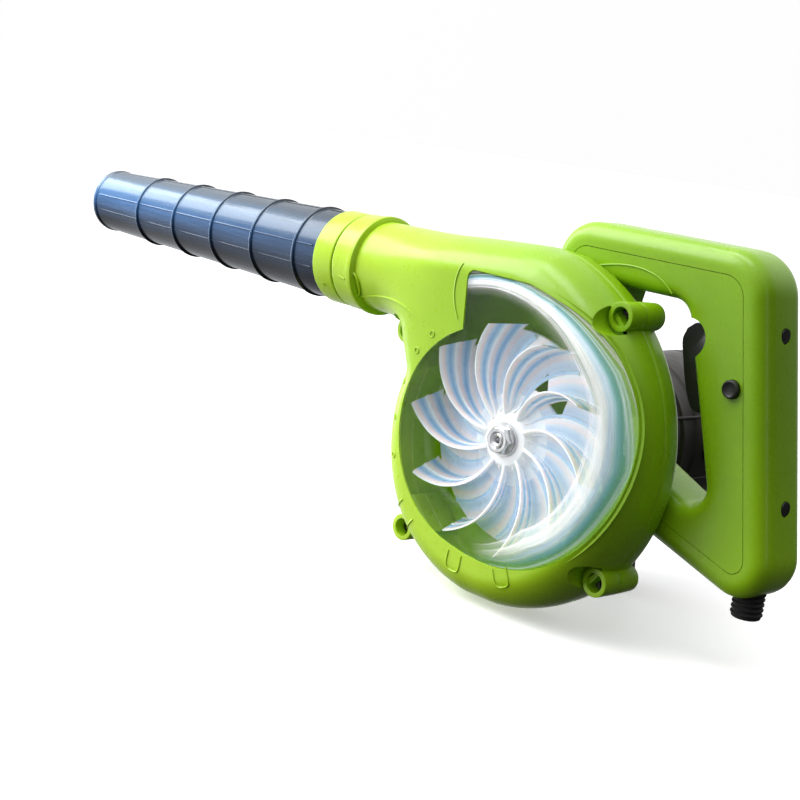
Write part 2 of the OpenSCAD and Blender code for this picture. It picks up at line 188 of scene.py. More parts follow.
# ---- meshes ----
class Mesh:
    """Collects points and faces in working millimetres."""

    def __init__(self):
        self.points, self.faces = [], []

    def add(self, points, faces):
        base = len(self.points)
        self.points += [tuple(float(c) for c in p) for p in points]
        self.faces += [[base + i for i in f] for f in faces]
        return self

    def grid(self, rows, wrap_rows=False, wrap_columns=False):
        """Rows of points, joined row to row."""
        n, m = len(rows), len(rows[0])
        faces = []
        for i in range(n if wrap_rows else n - 1):
            for j in range(m if wrap_columns else m - 1):
                k, j2 = (i + 1) % n, (j + 1) % m
                faces.append([i * m + j, i * m + j2, k * m + j2, k * m + j])
        return self.add([p for row in rows for p in row], faces)

    def loft(self, rings):
        """Closed rings joined in turn, with a flat cap at each end."""
        m = len(rings[0])
        self.grid(rings, wrap_columns=True)
        base = len(self.points) - len(rings) * m
        self.faces += [[base + k for k in reversed(range(m))],
                       [base + (len(rings) - 1) * m + k for k in range(m)]]
        return self

    def prism(self, outline, y0, y1):
        """An outline in the plan of x and z, drawn out from y0 to y1."""
        return self.loft([[(p[0], y, p[1]) for p in outline] for y in (y0, y1)])

    def rod(self, r, low, high, segments, axis="y", centre=(0, 0)):
        """A plain round rod between two places along its axis."""
        profile = [(0.0, low), (r, low), (r, high), (0.0, high)]
        return self.turned(profile, segments, axis, centre, closed=False)

    def turned(self, profile, segments=96, axis="y", centre=(0, 0), closed=True):
        """A profile of (radius, place along the axis) spun about the axis."""
        rows = []
        for k in range(segments):
            a = 2 * math.pi * k / segments
            c, s = math.cos(a), math.sin(a)
            if axis == "y":
                rows.append([(centre[0] + r * c, h, centre[1] + r * s) for r, h in profile])
            elif axis == "x":
                rows.append([(h, centre[0] + r * c, centre[1] + r * s) for r, h in profile])
            else:
                rows.append([(centre[0] + r * c, centre[1] + r * s, h) for r, h in profile])
        return self.grid(rows, wrap_rows=True, wrap_columns=closed)

    def tube(self, path, r, sides=8, closed=False):
        """A round bead along a path of points; r may be one radius for each point."""
        path = [Vector(p) for p in path]
        rings, normal = [], None
        for k, p in enumerate(path):
            a = path[k - 1] if k or closed else p
            b = path[(k + 1) % len(path)] if k < len(path) - 1 or closed else p
            t = (b - a).normalized()
            if normal is None:
                normal = t.orthogonal().normalized()
            normal = (normal - t * normal.dot(t)).normalized()
            side = t.cross(normal)
            q = r[k] if hasattr(r, "__len__") else r
            turns = [2 * math.pi * j / sides for j in range(sides)]
            rings.append([p + (normal * math.cos(w) + side * math.sin(w)) * q for w in turns])
        if closed:
            return self.grid(rings, wrap_rows=True, wrap_columns=True)
        return self.loft(rings)


def finish_mesh(name, mesh, sharp=32):
    """A Blender object from a Mesh: welded, turned outwards, with soft shading up to an angle."""
    data = bpy.data.meshes.new(name)
    data.from_pydata([at(*p) for p in mesh.points], [], mesh.faces)
    bm = bmesh.new()
    bm.from_mesh(data)
    bmesh.ops.remove_doubles(bm, verts=bm.verts, dist=2e-6)
    bmesh.ops.dissolve_degenerate(bm, edges=bm.edges, dist=1e-7)
    bmesh.ops.recalc_face_normals(bm, faces=bm.faces)
    limit = math.radians(sharp)
    for f in bm.faces:
        f.smooth = True
    for e in bm.edges:
        if len(e.link_faces) == 2:
            e.smooth = e.calc_face_angle(0) < limit
    bm.to_mesh(data)
    bm.free()
    obj = bpy.data.objects.new(name, data)
    bpy.context.scene.collection.objects.link(obj)
    return obj


def face_towards(obj, direction):
    """Turns an open sheet so that most of it faces a direction."""
    total = sum((p.normal * p.area for p in obj.data.polygons), Vector())
    if total.dot(direction) >= 0:
        return
    bm = bmesh.new()
    bm.from_mesh(obj.data)
    bmesh.ops.reverse_faces(bm, faces=bm.faces)
    bm.to_mesh(obj.data)
    bm.free()


def bake(obj):
    """Applies every modifier to the mesh."""
    bpy.context.view_layer.update()
    made = bpy.data.meshes.new_from_object(obj.evaluated_get(bpy.context.evaluated_depsgraph_get()))
    obj.modifiers.clear()
    obj.data = made
    return obj


def thicken(obj, depth):
    """Gives a sheet a wall on its inner side."""
    mod = obj.modifiers.new("wall", "SOLIDIFY")
    mod.thickness = depth * MM
    mod.offset = -1
    mod.use_quality_normals = True
    return bake(obj)


def join(obj, others):
    """Adds other objects' meshes to obj's own mesh."""
    bm = bmesh.new()
    bm.from_mesh(obj.data)
    for o in others:
        bm.from_mesh(o.data)
    bm.to_mesh(obj.data)
    bm.free()
    for o in others:
        bpy.data.objects.remove(o)
    return obj


def cut(obj, tool, operation="DIFFERENCE"):
    """Cuts a tool from a piece, or adds it, and removes the tool."""
    mod = obj.modifiers.new("cut", "BOOLEAN")
    mod.operation = operation
    mod.solver = "EXACT"
    mod.use_self = True
    mod.object = tool
    bake(obj)
    bpy.data.objects.remove(tool)
    return obj


def keep_sharp(obj, degrees):
    obj.data.set_sharp_from_angle(angle=math.radians(degrees))


def soften(obj, width):
    """Rounds the sharp edges."""
    mod = obj.modifiers.new("round", "BEVEL")
    mod.width = width * MM
    mod.segments = 2
    mod.limit_method = "ANGLE"
    mod.angle_limit = math.radians(35)
    mod.harden_normals = False
    bake(obj)
    for p in obj.data.polygons:
        p.use_smooth = True
    return obj


def settle(obj, body, material, replaces=()):
    """Gives a piece its material and body, and hides the CAD nodes that it stands for."""
    obj.data.materials.clear()
    obj.data.materials.append(material)
    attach(obj, body)
    if replaces:
        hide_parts(*replaces)
    return obj


# ---- materials ----
class Nodes:
    """A small helper for node trees."""

    def __init__(self, name):
        self.material = bpy.data.materials.new(name)
        self.material.use_nodes = True
        self.tree = self.material.node_tree
        self.shader = self.tree.nodes["Principled BSDF"]
        self.place = self.add("ShaderNodeTexCoord").outputs["Object"]

    def add(self, kind, **settings):
        node = self.tree.nodes.new(kind)
        for key, value in settings.items():
            setattr(node, key, value)
        return node

    def link(self, a, b):
        self.tree.links.new(a, b)
        return self

    def noise(self, scale, detail=4.0, roughness=0.5, distortion=0.0, vector=None):
        node = self.add("ShaderNodeTexNoise")
        node.inputs["Scale"].default_value = scale
        node.inputs["Detail"].default_value = detail
        node.inputs["Roughness"].default_value = roughness
        node.inputs["Distortion"].default_value = distortion
        self.link(vector or self.place, node.inputs["Vector"])
        return node.outputs["Fac"]

    def ramp(self, value, stops):
        node = self.add("ShaderNodeValToRGB")
        elements = node.color_ramp.elements
        while len(elements) > 1:
            elements.remove(elements[-1])
        for k, (where, colour) in enumerate(stops):
            e = elements[0] if k == 0 else elements.new(where)
            e.position = where
            e.color = (*colour, 1)
        self.link(value, node.inputs["Fac"])
        return node.outputs["Color"]

    def math(self, operation, a, b=None, clamp=False):
        node = self.add("ShaderNodeMath", operation=operation, use_clamp=clamp)
        for socket, value in zip(node.inputs, (a, b)):
            if value is None:
                continue
            if isinstance(value, (int, float)):
                socket.default_value = value
            else:
                self.link(value, socket)
        return node.outputs[0]

    def plus(self, a, b, clamp=False):
        return self.math("ADD", a, b, clamp)

    def minus(self, a, b):
        return self.math("SUBTRACT", a, b)

    def times(self, a, b):
        return self.math("MULTIPLY", a, b)

    def span(self, value, low, high, out_low=0.0, out_high=1.0):
        node = self.add("ShaderNodeMapRange", clamp=True)
        for key, x in zip(("From Min", "From Max", "To Min", "To Max"), (low, high, out_low, out_high)):
            node.inputs[key].default_value = x
        self.link(value, node.inputs["Value"])
        return node.outputs["Result"]

    def mix(self, fac, a, b):
        node = self.add("ShaderNodeMix", data_type="RGBA")
        for key, value in ((0, fac), (6, a), (7, b)):
            socket = node.inputs[key]
            if isinstance(value, (int, float)):
                socket.default_value = value
            elif isinstance(value, tuple):
                socket.default_value = (*value, 1)
            else:
                self.link(value, socket)
        return node.outputs[2]

    def split(self):
        node = self.add("ShaderNodeSeparateXYZ")
        self.link(self.place, node.inputs[0])
        return node.outputs["X"], node.outputs["Y"], node.outputs["Z"]

    def round_the_axis(self, x, z):
        """Distance from the fan axis and angle round it."""
        dx, dz = self.minus(x, AXIS_X), self.minus(z, AXIS_Z)
        squares = self.plus(self.times(dx, dx), self.times(dz, dz))
        return self.math("SQRT", squares), self.math("ARCTAN2", dz, dx)

    def bump(self, height, distance, strength=1.0):
        node = self.add("ShaderNodeBump")
        node.inputs["Distance"].default_value = distance
        node.inputs["Strength"].default_value = strength
        self.link(height, node.inputs["Height"])
        self.link(node.outputs["Normal"], self.shader.inputs["Normal"])
        return self

    def feed(self, socket, value):
        return self.link(value, self.shader.inputs[socket])

    def gloss(self, pattern, low, high):
        """Roughness between two values, after a pattern."""
        return self.feed("Roughness", self.span(pattern, 0.3, 0.7, low, high))

    def stretched(self, scale):
        """The place, stretched along the axes."""
        node = self.add("ShaderNodeMapping")
        node.inputs["Scale"].default_value = scale
        self.link(self.place, node.inputs["Vector"])
        return node.outputs[0]

    def set(self, **values):
        for key, value in values.items():
            self.shader.inputs[key.replace("_", " ")].default_value = value
        return self


def lime_plastic():
    """Glossy moulded plastic with faint flow mottling and random tone; painted lighter towards the outlet and the
    base and darker towards the rear, as painted light and shade.
    """
    n = Nodes("lime_plastic")
    x, y, z = n.split()
    # painted light and shade: lighter towards the outlet end and the base, darker towards the rear
    rearwards = n.span(x, -0.06, 0.20, 0.75, 0.0)
    low = n.span(z, 0.02, 0.12, 0.25, 0.0)
    tone_and_painted_light = n.plus(n.times(n.noise(9, 3), 0.3), n.plus(rearwards, low))
    flow = n.times(n.minus(n.noise(60, 5, 0.6, 0.6), 0.5), 0.14)
    colour = n.ramp(n.plus(tone_and_painted_light, flow, clamp=True),
                    [(0.0, (0.17, 0.37, 0.004)), (0.35, (0.29, 0.54, 0.006)),
                     (0.7, (0.45, 0.71, 0.018)), (1.0, (0.50, 0.75, 0.030))])
    n.feed("Base Color", colour)
    n.gloss(n.noise(140, 5, 0.6), 0.24, 0.36)
    n.bump(n.plus(n.noise(1600, 2), n.times(n.noise(220, 3), 0.6)), 0.00006, 0.35)
    n.set(IOR=1.45, Coat_Weight=0.15, Coat_Roughness=0.16, Subsurface_Weight=0.06, Subsurface_Scale=0.003)
    n.shader.inputs["Subsurface Radius"].default_value = (0.6, 1.0, 0.2)
    return n.material


def dark_plastic(name, dark, light, rough_low, rough_high, grain_scale=1400, grain=0.4):
    """Black moulded plastic with tone mottling, handling marks and a spark-eroded grain."""
    n = Nodes(name)
    marks = n.noise(45, 6, 0.65, 1.2)
    n.feed("Base Color", n.ramp(marks, [(0.25, dark), (0.75, light)]))
    n.gloss(n.noise(90, 5, 0.6), rough_low, rough_high)
    n.bump(n.plus(n.noise(grain_scale, 2), n.noise(240, 3)), 0.00008, grain)
    n.set(IOR=1.5)
    return n.material


def nozzle_plastic():
    """Glossy black plastic, with a painted blue glow across its front and a painted grey reflection along its top,
    stronger towards the tip.
    """
    n = Nodes("nozzle_plastic")
    x, y, z = n.split()
    side = n.math("ARCTAN2", n.minus(z, AXIS_Z + DUCT_Z * MM),
                  n.minus(RIM_Y + SEAM_Y * MM, y))
    # how strongly the painted glow and reflection show: fully at the tip, less near the ring
    along = n.span(x, at(TIP_X, 0, 0).x, at(NOZZLE_X, 0, 0).x, 1.0, 0.35)
    streaks = n.noise(420, 4, 0.6, vector=n.stretched((0.06, 1, 1)))
    wobble = n.times(n.minus(streaks, 0.5), 0.16)
    round_it = n.plus(n.span(side, -math.pi / 2, math.pi / 2), wobble)
    # painted light round the tube: near black underneath, a painted blue glow across the front, a painted grey
    # reflection near the top
    painted_glow_and_reflection = n.ramp(round_it, [(0.0, (0.006, 0.006, 0.008)), (0.30, (0.006, 0.008, 0.012)),
                              (0.42, (0.010, 0.045, 0.12)), (0.56, (0.05, 0.17, 0.40)),
                              (0.68, (0.13, 0.26, 0.44)), (0.82, (0.12, 0.16, 0.21)),
                              (1.0, (0.035, 0.037, 0.042))])
    n.feed("Base Color", n.mix(along, (0.010, 0.012, 0.018), painted_glow_and_reflection))
    n.gloss(streaks, 0.18, 0.32)
    n.bump(n.plus(streaks, n.noise(1300, 2)), 0.00005, 0.35)
    n.set(IOR=1.45, Coat_Weight=0.3, Coat_Roughness=0.08)
    n.shader.inputs["Coat Tint"].default_value = (0.72, 0.86, 1.0, 1)
    return n.material


def fan_plastic():
    """Pearly white plastic, with painted blue shade in the hollows and a painted pink sheen on the crests between
    the ridges, and a faint painted glow.
    """
    n = Nodes("fan_plastic")
    x, y, z = n.split()
    r, turn = n.round_the_axis(x, z)
    depth = n.minus(y, RIM_Y)
    front = n.span(r, HUB_R * MM, FAN_R * MM, front_edge(HUB_R) * MM, TIP_Y * MM)
    back = n.span(r, (HUB_R + 3) * MM, DISC_R * MM, back_edge(HUB_R + 3) * MM, back_edge(DISC_R) * MM)
    share = n.math("DIVIDE", n.minus(depth, front), n.minus(back, front))
    reach = n.span(r, HUB_R * MM, FAN_R * MM)
    swept = n.times(n.minus(1.0, n.math("POWER", reach, LAG_POWER)), math.radians(BLADE_LAG))
    behind = n.minus(n.minus(turn, swept), math.radians(FIRST_TIP))
    lean = n.math("DIVIDE", n.times(n.minus(depth, front), LEAN), r)
    pitches = n.times(n.plus(behind, lean), -BLADE_COUNT / (2 * math.pi))
    on_disc = n.span(share, 0.93, 0.99)
    disc_phase = n.math("FRACT", n.plus(n.times(pitches, 2.0), 20.0))
    blade_phase = n.math("FRACT", n.times(n.plus(share, 1.0), FLUTES))
    picked = n.math("GREATER_THAN", on_disc, 0.5)
    phase = n.plus(n.times(picked, disc_phase), n.times(n.minus(1.0, picked), blade_phase))
    phase = n.math("FRACT", n.plus(phase, n.times(n.minus(n.noise(45, 2), 0.5), 0.06)))
    # painted shade and sheen: white crests edged with a painted pink sheen, painted blue shade in the hollows
    # between them
    hollow_shade_and_crest_sheen = n.ramp(phase, [(0.0, (0.90, 0.91, 0.94)), (0.10, (0.90, 0.84, 0.90)), (0.24, (0.92, 0.72, 0.70)),
                            (0.40, (0.50, 0.66, 0.86)), (0.62, (0.20, 0.45, 0.74)), (0.80, (0.42, 0.66, 0.88)),
                            (0.93, (0.90, 0.94, 1.0)), (1.0, (0.90, 0.91, 0.94))])
    strength = n.times(n.span(r, 0.015, 0.028), n.span(on_disc, 0.0, 1.0, 0.9, 0.4))
    tone = n.mix(strength, (0.84, 0.86, 0.89), hollow_shade_and_crest_sheen)
    n.feed("Base Color", tone)
    # the fan glows faintly in these colours: painted light
    n.feed("Emission Color", tone)
    n.gloss(n.noise(150, 4), 0.22, 0.36)
    n.bump(n.noise(900, 2), 0.00005, 0.3)
    n.set(IOR=1.5, Subsurface_Weight=0.15, Subsurface_Scale=0.003, Coat_Weight=0.4, Coat_Roughness=0.1,
          Emission_Strength=0.07)
    return n.material


BAND_LOW, BAND_HIGH = -0.6, 1.2


def clear_plastic():
    """Clear glossy plastic. A band of painted white highlights with a teal edge follows the air channel, and glows
    a little as painted light.
    """
    n = Nodes("clear_plastic")
    x, y, z = n.split()
    r, turn = n.round_the_axis(x, z)
    inner = n.span(turn, -0.75, 0.45, 0.052, 0.0785)
    outer = n.plus(n.span(turn, -1.25, 0.08, 0.065, 0.0935), n.span(turn, 0.6, 1.25, 0.0, -0.0075))
    band = n.math("DIVIDE", n.minus(r, inner), n.minus(outer, inner))
    drift = n.times(n.minus(n.noise(14, 2), 0.5), 0.05)
    band = n.span(n.plus(band, drift), BAND_LOW, BAND_HIGH, BAND_LOW, BAND_HIGH)
    across = n.span(band, BAND_LOW, BAND_HIGH)
    # painted highlights: the white streaks across the band, as an opacity ramp
    cover = band_ramp(n, across, [(place, (grey,) * 3) for place, grey in (
        (-0.6, 0.0), (-0.2, 0.06), (-0.03, 0.16), (0.0, 0.72), (0.04, 0.36), (0.19, 0.46), (0.23, 0.92),
        (0.28, 0.74), (0.40, 0.88), (0.50, 0.72), (0.55, 0.90), (0.60, 0.66), (0.66, 0.74), (0.78, 0.55),
        (0.82, 0.80), (0.86, 0.16), (0.96, 0.10), (1.0, 0.6), (1.04, 0.12))])
    colour = band_ramp(n, across, [
        (-0.6, (0.90, 0.95, 0.98)), (0.0, (0.96, 0.90, 0.95)), (0.1, (0.84, 0.90, 0.93)),
        (0.24, (1.0, 1.0, 1.0)), (0.42, (0.95, 0.98, 1.0)), (0.52, (0.62, 0.78, 0.96)),
        (0.58, (0.75, 0.88, 0.98)), (0.66, (0.24, 0.52, 0.60)), (0.77, (0.14, 0.36, 0.34)),
        (0.82, (0.70, 0.85, 0.90)), (0.88, (0.30, 0.50, 0.20)), (1.0, (0.88, 0.80, 0.90))])
    streaks = n.noise(9, 5, 0.7, vector=flow_vector(n, turn, band))
    ends = n.times(n.span(turn, -1.45, -0.55), n.span(turn, 1.75, 2.0, 1.0, 0.0))
    painted_highlight_band = n.times(n.times(cover, ends), n.span(streaks, 0.34, 0.6, 0.45, 1.0))
    # the band's colour also glows: painted light
    n.feed("Base Color", colour)
    n.feed("Emission Color", colour)
    layer = n.add("ShaderNodeLayerWeight")
    layer.inputs["Blend"].default_value = 0.2
    alpha = n.plus(n.times(painted_highlight_band, 0.8), n.times(layer.outputs["Facing"], 0.025))
    n.feed("Alpha", n.plus(alpha, 0.008, clamp=True))
    n.gloss(streaks, 0.03, 0.09)
    n.set(IOR=1.49, Coat_Weight=0.6, Coat_Roughness=0.03, Emission_Strength=0.32)
    return n.material


def band_ramp(n, across, stops):
    """A ramp over the band of painted highlights, 0 to 1, and a little on each side of it."""
    return n.ramp(across, [((place - BAND_LOW) / (BAND_HIGH - BAND_LOW), colour) for place, colour in stops])


def flow_vector(n, turn, band):
    """Coordinates that run along and across the air channel, for streaks that follow it."""
    node = n.add("ShaderNodeCombineXYZ")
    n.link(n.times(turn, 0.12), node.inputs["X"])
    n.link(n.times(band, 1.1), node.inputs["Y"])
    return node.outputs[0]


def metal(name, dark, light, rough, scale=900):
    """Machined metal: tone patches and fine tool lines."""
    n = Nodes(name)
    lines = n.noise(scale, 3, 0.6)
    n.feed("Base Color", n.ramp(n.noise(120, 4), [(0.3, dark), (0.7, light)]))
    n.gloss(lines, rough * 0.75, rough * 1.3)
    n.bump(lines, 0.00004, 0.3)
    n.set(Metallic=1.0)
    return n.material


def stacked_steel():
    """Laminated electrical steel: thin sheets across the motor axis."""
    n = Nodes("laminated_steel")
    x, y, z = n.split()
    sheet = n.math("FRACT", n.times(y, 1 / (0.65 * MM)))
    n.feed("Base Color", n.ramp(sheet, [(0.0, (0.05, 0.05, 0.06)), (0.2, (0.33, 0.33, 0.35)),
                                        (0.9, (0.42, 0.42, 0.44))]))
    n.gloss(n.noise(300, 3), 0.35, 0.55)
    n.bump(sheet, 0.0001, 0.6)
    n.set(Metallic=0.9)
    return n.material


def wound_copper():
    """Enamelled copper wire, wound in fine turns."""
    n = Nodes("copper")
    x, y, z = n.split()
    turns = n.plus(n.times(y, 4200.0), n.times(n.noise(70, 2), 3.0))
    wave = n.math("SINE", turns)
    n.feed("Base Color", n.ramp(n.span(wave, -1, 1), [(0.0, (0.20, 0.05, 0.01)), (0.6, (0.62, 0.24, 0.07)),
                                                      (1.0, (0.8, 0.36, 0.12))]))
    n.gloss(n.noise(200, 3), 0.22, 0.4)
    n.bump(wave, 0.0002, 0.5)
    n.set(Metallic=0.85, Coat_Weight=0.5, Coat_Roughness=0.15)
    return n.material


# ---- the scroll casing ----
def scroll_at(angle):
    return SCROLL_R + SCROLL_GROWTH * math.radians(angle - TONGUE_ANGLE)


def spiral(angle):
    x, z = polar(scroll_at(angle), angle)
    return (x, max(z, FLOOR_Z))


def window_r(angle):
    """The window's radius: round at first, then out over the air channel, and a little back at its end."""
    swell = smooth((angle - 257) / 132)
    drop = smooth((angle - 396) / 40)
    return WINDOW_R + WINDOW_SWELL * swell - WINDOW_DROP * drop


def outline_sides():
    """The casing's outline at the seam, in four sides: scroll, top, outlet end, neck."""
    scroll = [spiral(a) for a in np.linspace(SCROLL_START, SCROLL_END, 150)]
    top = through([spiral(SCROLL_END), (2, 101.6), (-30, 100), (-66, 97.6), (BLOCK_X, DUCT_Z + DUCT_R)], 12)
    end = [(BLOCK_X, DUCT_Z + DUCT_R * math.cos(math.pi * k / 40)) for k in range(41)]
    neck = through([(BLOCK_X, DUCT_Z - DUCT_R), (-92, 46.2), (-82.5, 42.5), (-76.8, 34.5),
                    spiral(SCROLL_START)], 8)
    return [[tuple(p) for p in side] for side in (scroll, top, end, neck)]


OUTLINE = outline_sides()
OUTER = np.array([p for side in OUTLINE for p in side[:-1]])
WALLS = np.array(OUTLINE[3][:-1] + OUTLINE[0][:-1] + OUTLINE[1])


def from_outline(points):
    """Distance of each point from the casing's outline, without its open outlet end."""
    a, b = WALLS[:-1], WALLS[1:]
    ab = b - a
    length2 = np.maximum((ab ** 2).sum(1), 1e-9)
    t = np.clip(((points[:, None] - a) * ab).sum(2) / length2, 0, 1)
    near = a + t[..., None] * ab
    return np.sqrt(((points[:, None] - near) ** 2).sum(2)).min(1)


def ellipse(d, reach):
    """0 at the rim to 1 at reach and beyond, along a quarter ellipse."""
    return np.sqrt(np.maximum(0, 1 - (1 - np.clip(d / reach, 0, 1)) ** 2))


def front_y(points):
    """Depth of the front half's outer surface."""
    d = from_outline(points)
    scroll = SEAM_Y - (SEAM_Y - FACE_Y) * ellipse(d, ROUND_IN)
    tube = SEAM_Y - DUCT_R * ellipse(d, DUCT_R)
    w = smooth((points[:, 0] - BLOCK_X - 8) / 52)
    return scroll * w + tube * (1 - w)


def rear_y(points):
    """Depth of the rear half's outer surface: a straight wall, then a rounded back edge."""
    d = from_outline(points)
    edge = 0.6
    wall_depth = 9.6 * np.clip(d / edge, 0, 1)
    scroll = SEAM_Y + wall_depth + (BACK_Y - SEAM_Y - 9.6) * ellipse(np.maximum(d - edge, 0), 6.5)
    tube = SEAM_Y + DUCT_R * ellipse(d, DUCT_R)
    w = smooth((points[:, 0] - BLOCK_X - 10) / 50)
    return scroll * w + tube * (1 - w)


def casing_sheet(inner, share, height, lip):
    """A sheet between the outline and an inner loop, lifted to the height function, with the half
    tube of the outlet added at its open end."""
    rows = []
    for t in share:
        points = OUTER + (inner - OUTER) * t
        y = height(points)
        rows.append([(p[0], q, p[1]) for p, q in zip(points, y)])
    rows.append([(p[0], q + lip, p[1]) for p, q in zip(inner, height(inner))])
    mesh = Mesh().grid(rows, wrap_columns=True)
    end = np.array(OUTLINE[2])
    y = height(end)
    tube_rows = []
    for x in np.linspace(BLOCK_X, STUB_X, 5):
        tube_rows.append([(x, q, p[1]) for p, q in zip(end, y)])
    mesh.grid(tube_rows)
    return mesh


def window_loop(grow=0.0):
    """The window's edge, matched to the outline's stations."""
    counts = [len(side) for side in OUTLINE]
    near = WINDOW_R + grow
    scroll = [polar(window_r(a) + grow, a) for a in np.linspace(SCROLL_START, SCROLL_END, counts[0])]
    corner = rounded([scroll[-1], (-24 - grow, 85 + grow, 6), polar(near, 112)], 6, 10, closed=False)
    half = len(corner) // 2
    top = resampled(corner[:half], counts[1])
    end = resampled(corner[half - 1:], counts[2])
    neck = [polar(near, a) for a in np.linspace(112, SCROLL_START, counts[3])]
    return np.array([tuple(p) for side in (scroll, top, end, neck) for p in side[:-1]])


def tower(x, z, y0, y1):
    """A screw tower: a round post with a bore down to the screw's seat."""
    profile = [(TOWER_R - 0.5, y0), (TOWER_R, y0 + 0.1, 0.8), (TOWER_R + 0.1, y1), (0.0, y1),
               (0.0, SCREW_SEAT_Y), (TOWER_BORE_R, SCREW_SEAT_Y), (TOWER_BORE_R, y0)]
    profile = rounded(profile, 0.6, 3, closed=False)
    return finish_mesh("tower", Mesh().turned(profile, 40, centre=(x, z)))


def gusset(x, z, y0, y1, reach):
    """A web from a tower back to the casing, wider at the casing."""
    out = math.atan2(z, x)
    radial, across = Vector((math.cos(out), math.sin(out))), Vector((-math.sin(out), math.cos(out)))
    sides = [(-reach, 13), (-reach * 0.6, 8.6), (-5.4, 6.0), (-5.4, -6.0), (-reach * 0.6, -8.6), (-reach, -13)]
    ring = [radial * a + across * b for a, b in rounded(sides, 2, 3)]
    rings = []
    for y, inset in ((y0, 1.6), (y0 + 0.5, 0.7), (y0 + 1.6, 0.0), (y1, 0.0)):
        shrink = 1 - inset / 14
        rings.append([(x + p.x * shrink, y, z + p.y * shrink) for p in ring])
    return finish_mesh("gusset", Mesh().loft(rings))


def inside_outline(x, z):
    """Whether a point of the plan view lies inside the casing's outline."""
    inside = False
    for (ax, az), (bx, bz) in zip(OUTER, np.roll(OUTER, -1, axis=0)):
        if (az > z) != (bz > z) and x < (bx - ax) * (z - az) / (bz - az) + ax:
            inside = not inside
    return inside


def tower_seat(x, z):
    """The sunken land round a tower, where it stands inside the casing's rounded edge."""
    rows = []
    for k in range(72):
        dx, dz = polar(1, 5 * k)
        place = np.array([[x + SEAT_R * dx, z + SEAT_R * dz]])
        top = SEAT_Y
        if inside_outline(*place[0]):
            top = min(float(front_y(place)[0]) + 0.3, SEAT_Y)
        outer = SEAT_R + 1.2 if top < SEAT_Y else TOWER_R - 0.1
        face = min(SEAT_R - 0.05, outer)
        shape = [(face, top), (face, SEAT_Y), (TOWER_R - 0.4, SEAT_Y), (TOWER_R - 0.4, SEAT_Y + 1.2),
                 (outer, SEAT_Y + 1.2), (outer, top + 0.2)]
        rows.append([(x + r * dx, y, z + r * dz) for r, y in shape])
    return finish_mesh("seat", Mesh().grid(rows, wrap_rows=True, wrap_columns=True))


def on_face(points, height, lift):
    """Puts points of a plan view on the casing's surface."""
    pts = np.array([tuple(p) for p in points], float)
    return [(p[0], y - lift, p[1]) for p, y in zip(pts, height(pts))]


def bend(start, corner, end, steps=24):
    """A smooth curve that leaves start and reaches end as if it aimed at the corner."""
    a, c, b = Vector(start), Vector(corner), Vector(end)
    places = [k / steps for k in range(steps + 1)]
    return [a * (1 - t) ** 2 + c * 2 * t * (1 - t) + b * t * t for t in places]


def face_details():
    """Raised lines and small moulding marks on the front face."""
    mesh = Mesh()
    for a, b in (((-37.5, -52), (-44, -58.5)), ((-47, -43.5), (-53.5, -49.5))):
        mesh.tube(on_face(resampled([a, b], 8), front_y, 0.0), 0.55, 6)
    for x, z in ((-5, -66.5), (29, -64.5)):
        turn = Matrix.Rotation(math.atan2(z, x) + math.pi / 2, 2)
        ring = [(-4.6, 6), (-4.6, -1), (-2.6, -3.6), (2.6, -3.6), (4.6, -1), (4.6, 6)]
        path = [Vector((x, z)) + turn @ p for p in through(ring, 5)]
        mesh.tube(on_face(path, front_y, 0.05), 0.5, 6)
    for angle in DIMPLE_ANGLES:
        x, z = polar(DIMPLE_R, angle)
        circle = arc((x, z), 1.5, 0, 360, 17)[:-1]
        mesh.tube(on_face(circle, front_y, 0.05), 0.38, 6, closed=True)
    crease = bend((-108, 55), (-73, 64), (-55.5, 52.5))
    widths = [0.15 + 0.5 * math.sin(math.pi * k / (len(crease) - 1)) for k in range(len(crease))]
    mesh.tube(on_face(crease, front_y, 0.1), widths, 8)
    mesh.tube(on_face(bend((-28.5, 87), (-35, 72), (-26, 58.5)), front_y, 0.05), 0.45, 6)
    return finish_mesh("details", mesh)


DIMPLE_R = 63.5
DIMPLE_ANGLES = (132, 145, 163.5, 182, 200.5)


def build_front_cover(material):
    share = [(1 - math.cos(a)) ** 1.15 for a in np.linspace(0, math.pi / 2, 30)]
    sheet = finish_mesh("front_shell", casing_sheet(window_loop(), share, front_y, 1.0), 40)
    face_towards(sheet, Vector((0, -1, 0)))
    thicken(sheet, WALL)
    for x, z in TOWERS:
        cut(sheet, finish_mesh("plug", Mesh().rod(SEAT_R, -20, SEAT_Y, 72, centre=(x, z))))
    keep_sharp(sheet, 40)
    parts = [face_details()]
    for k, (x, z) in enumerate(TOWERS):
        parts.append(tower_seat(x, z))
        parts.append(tower(x, z, TOWER_Y, SEAM_Y - 0.1))
        parts.append(gusset(x, z, TOWER_Y + 2.4, SEAM_Y - 0.1, GUSSET_REACH[k]))
    join(sheet, parts)
    return settle(sheet, "housing", material, ["front_cover"])


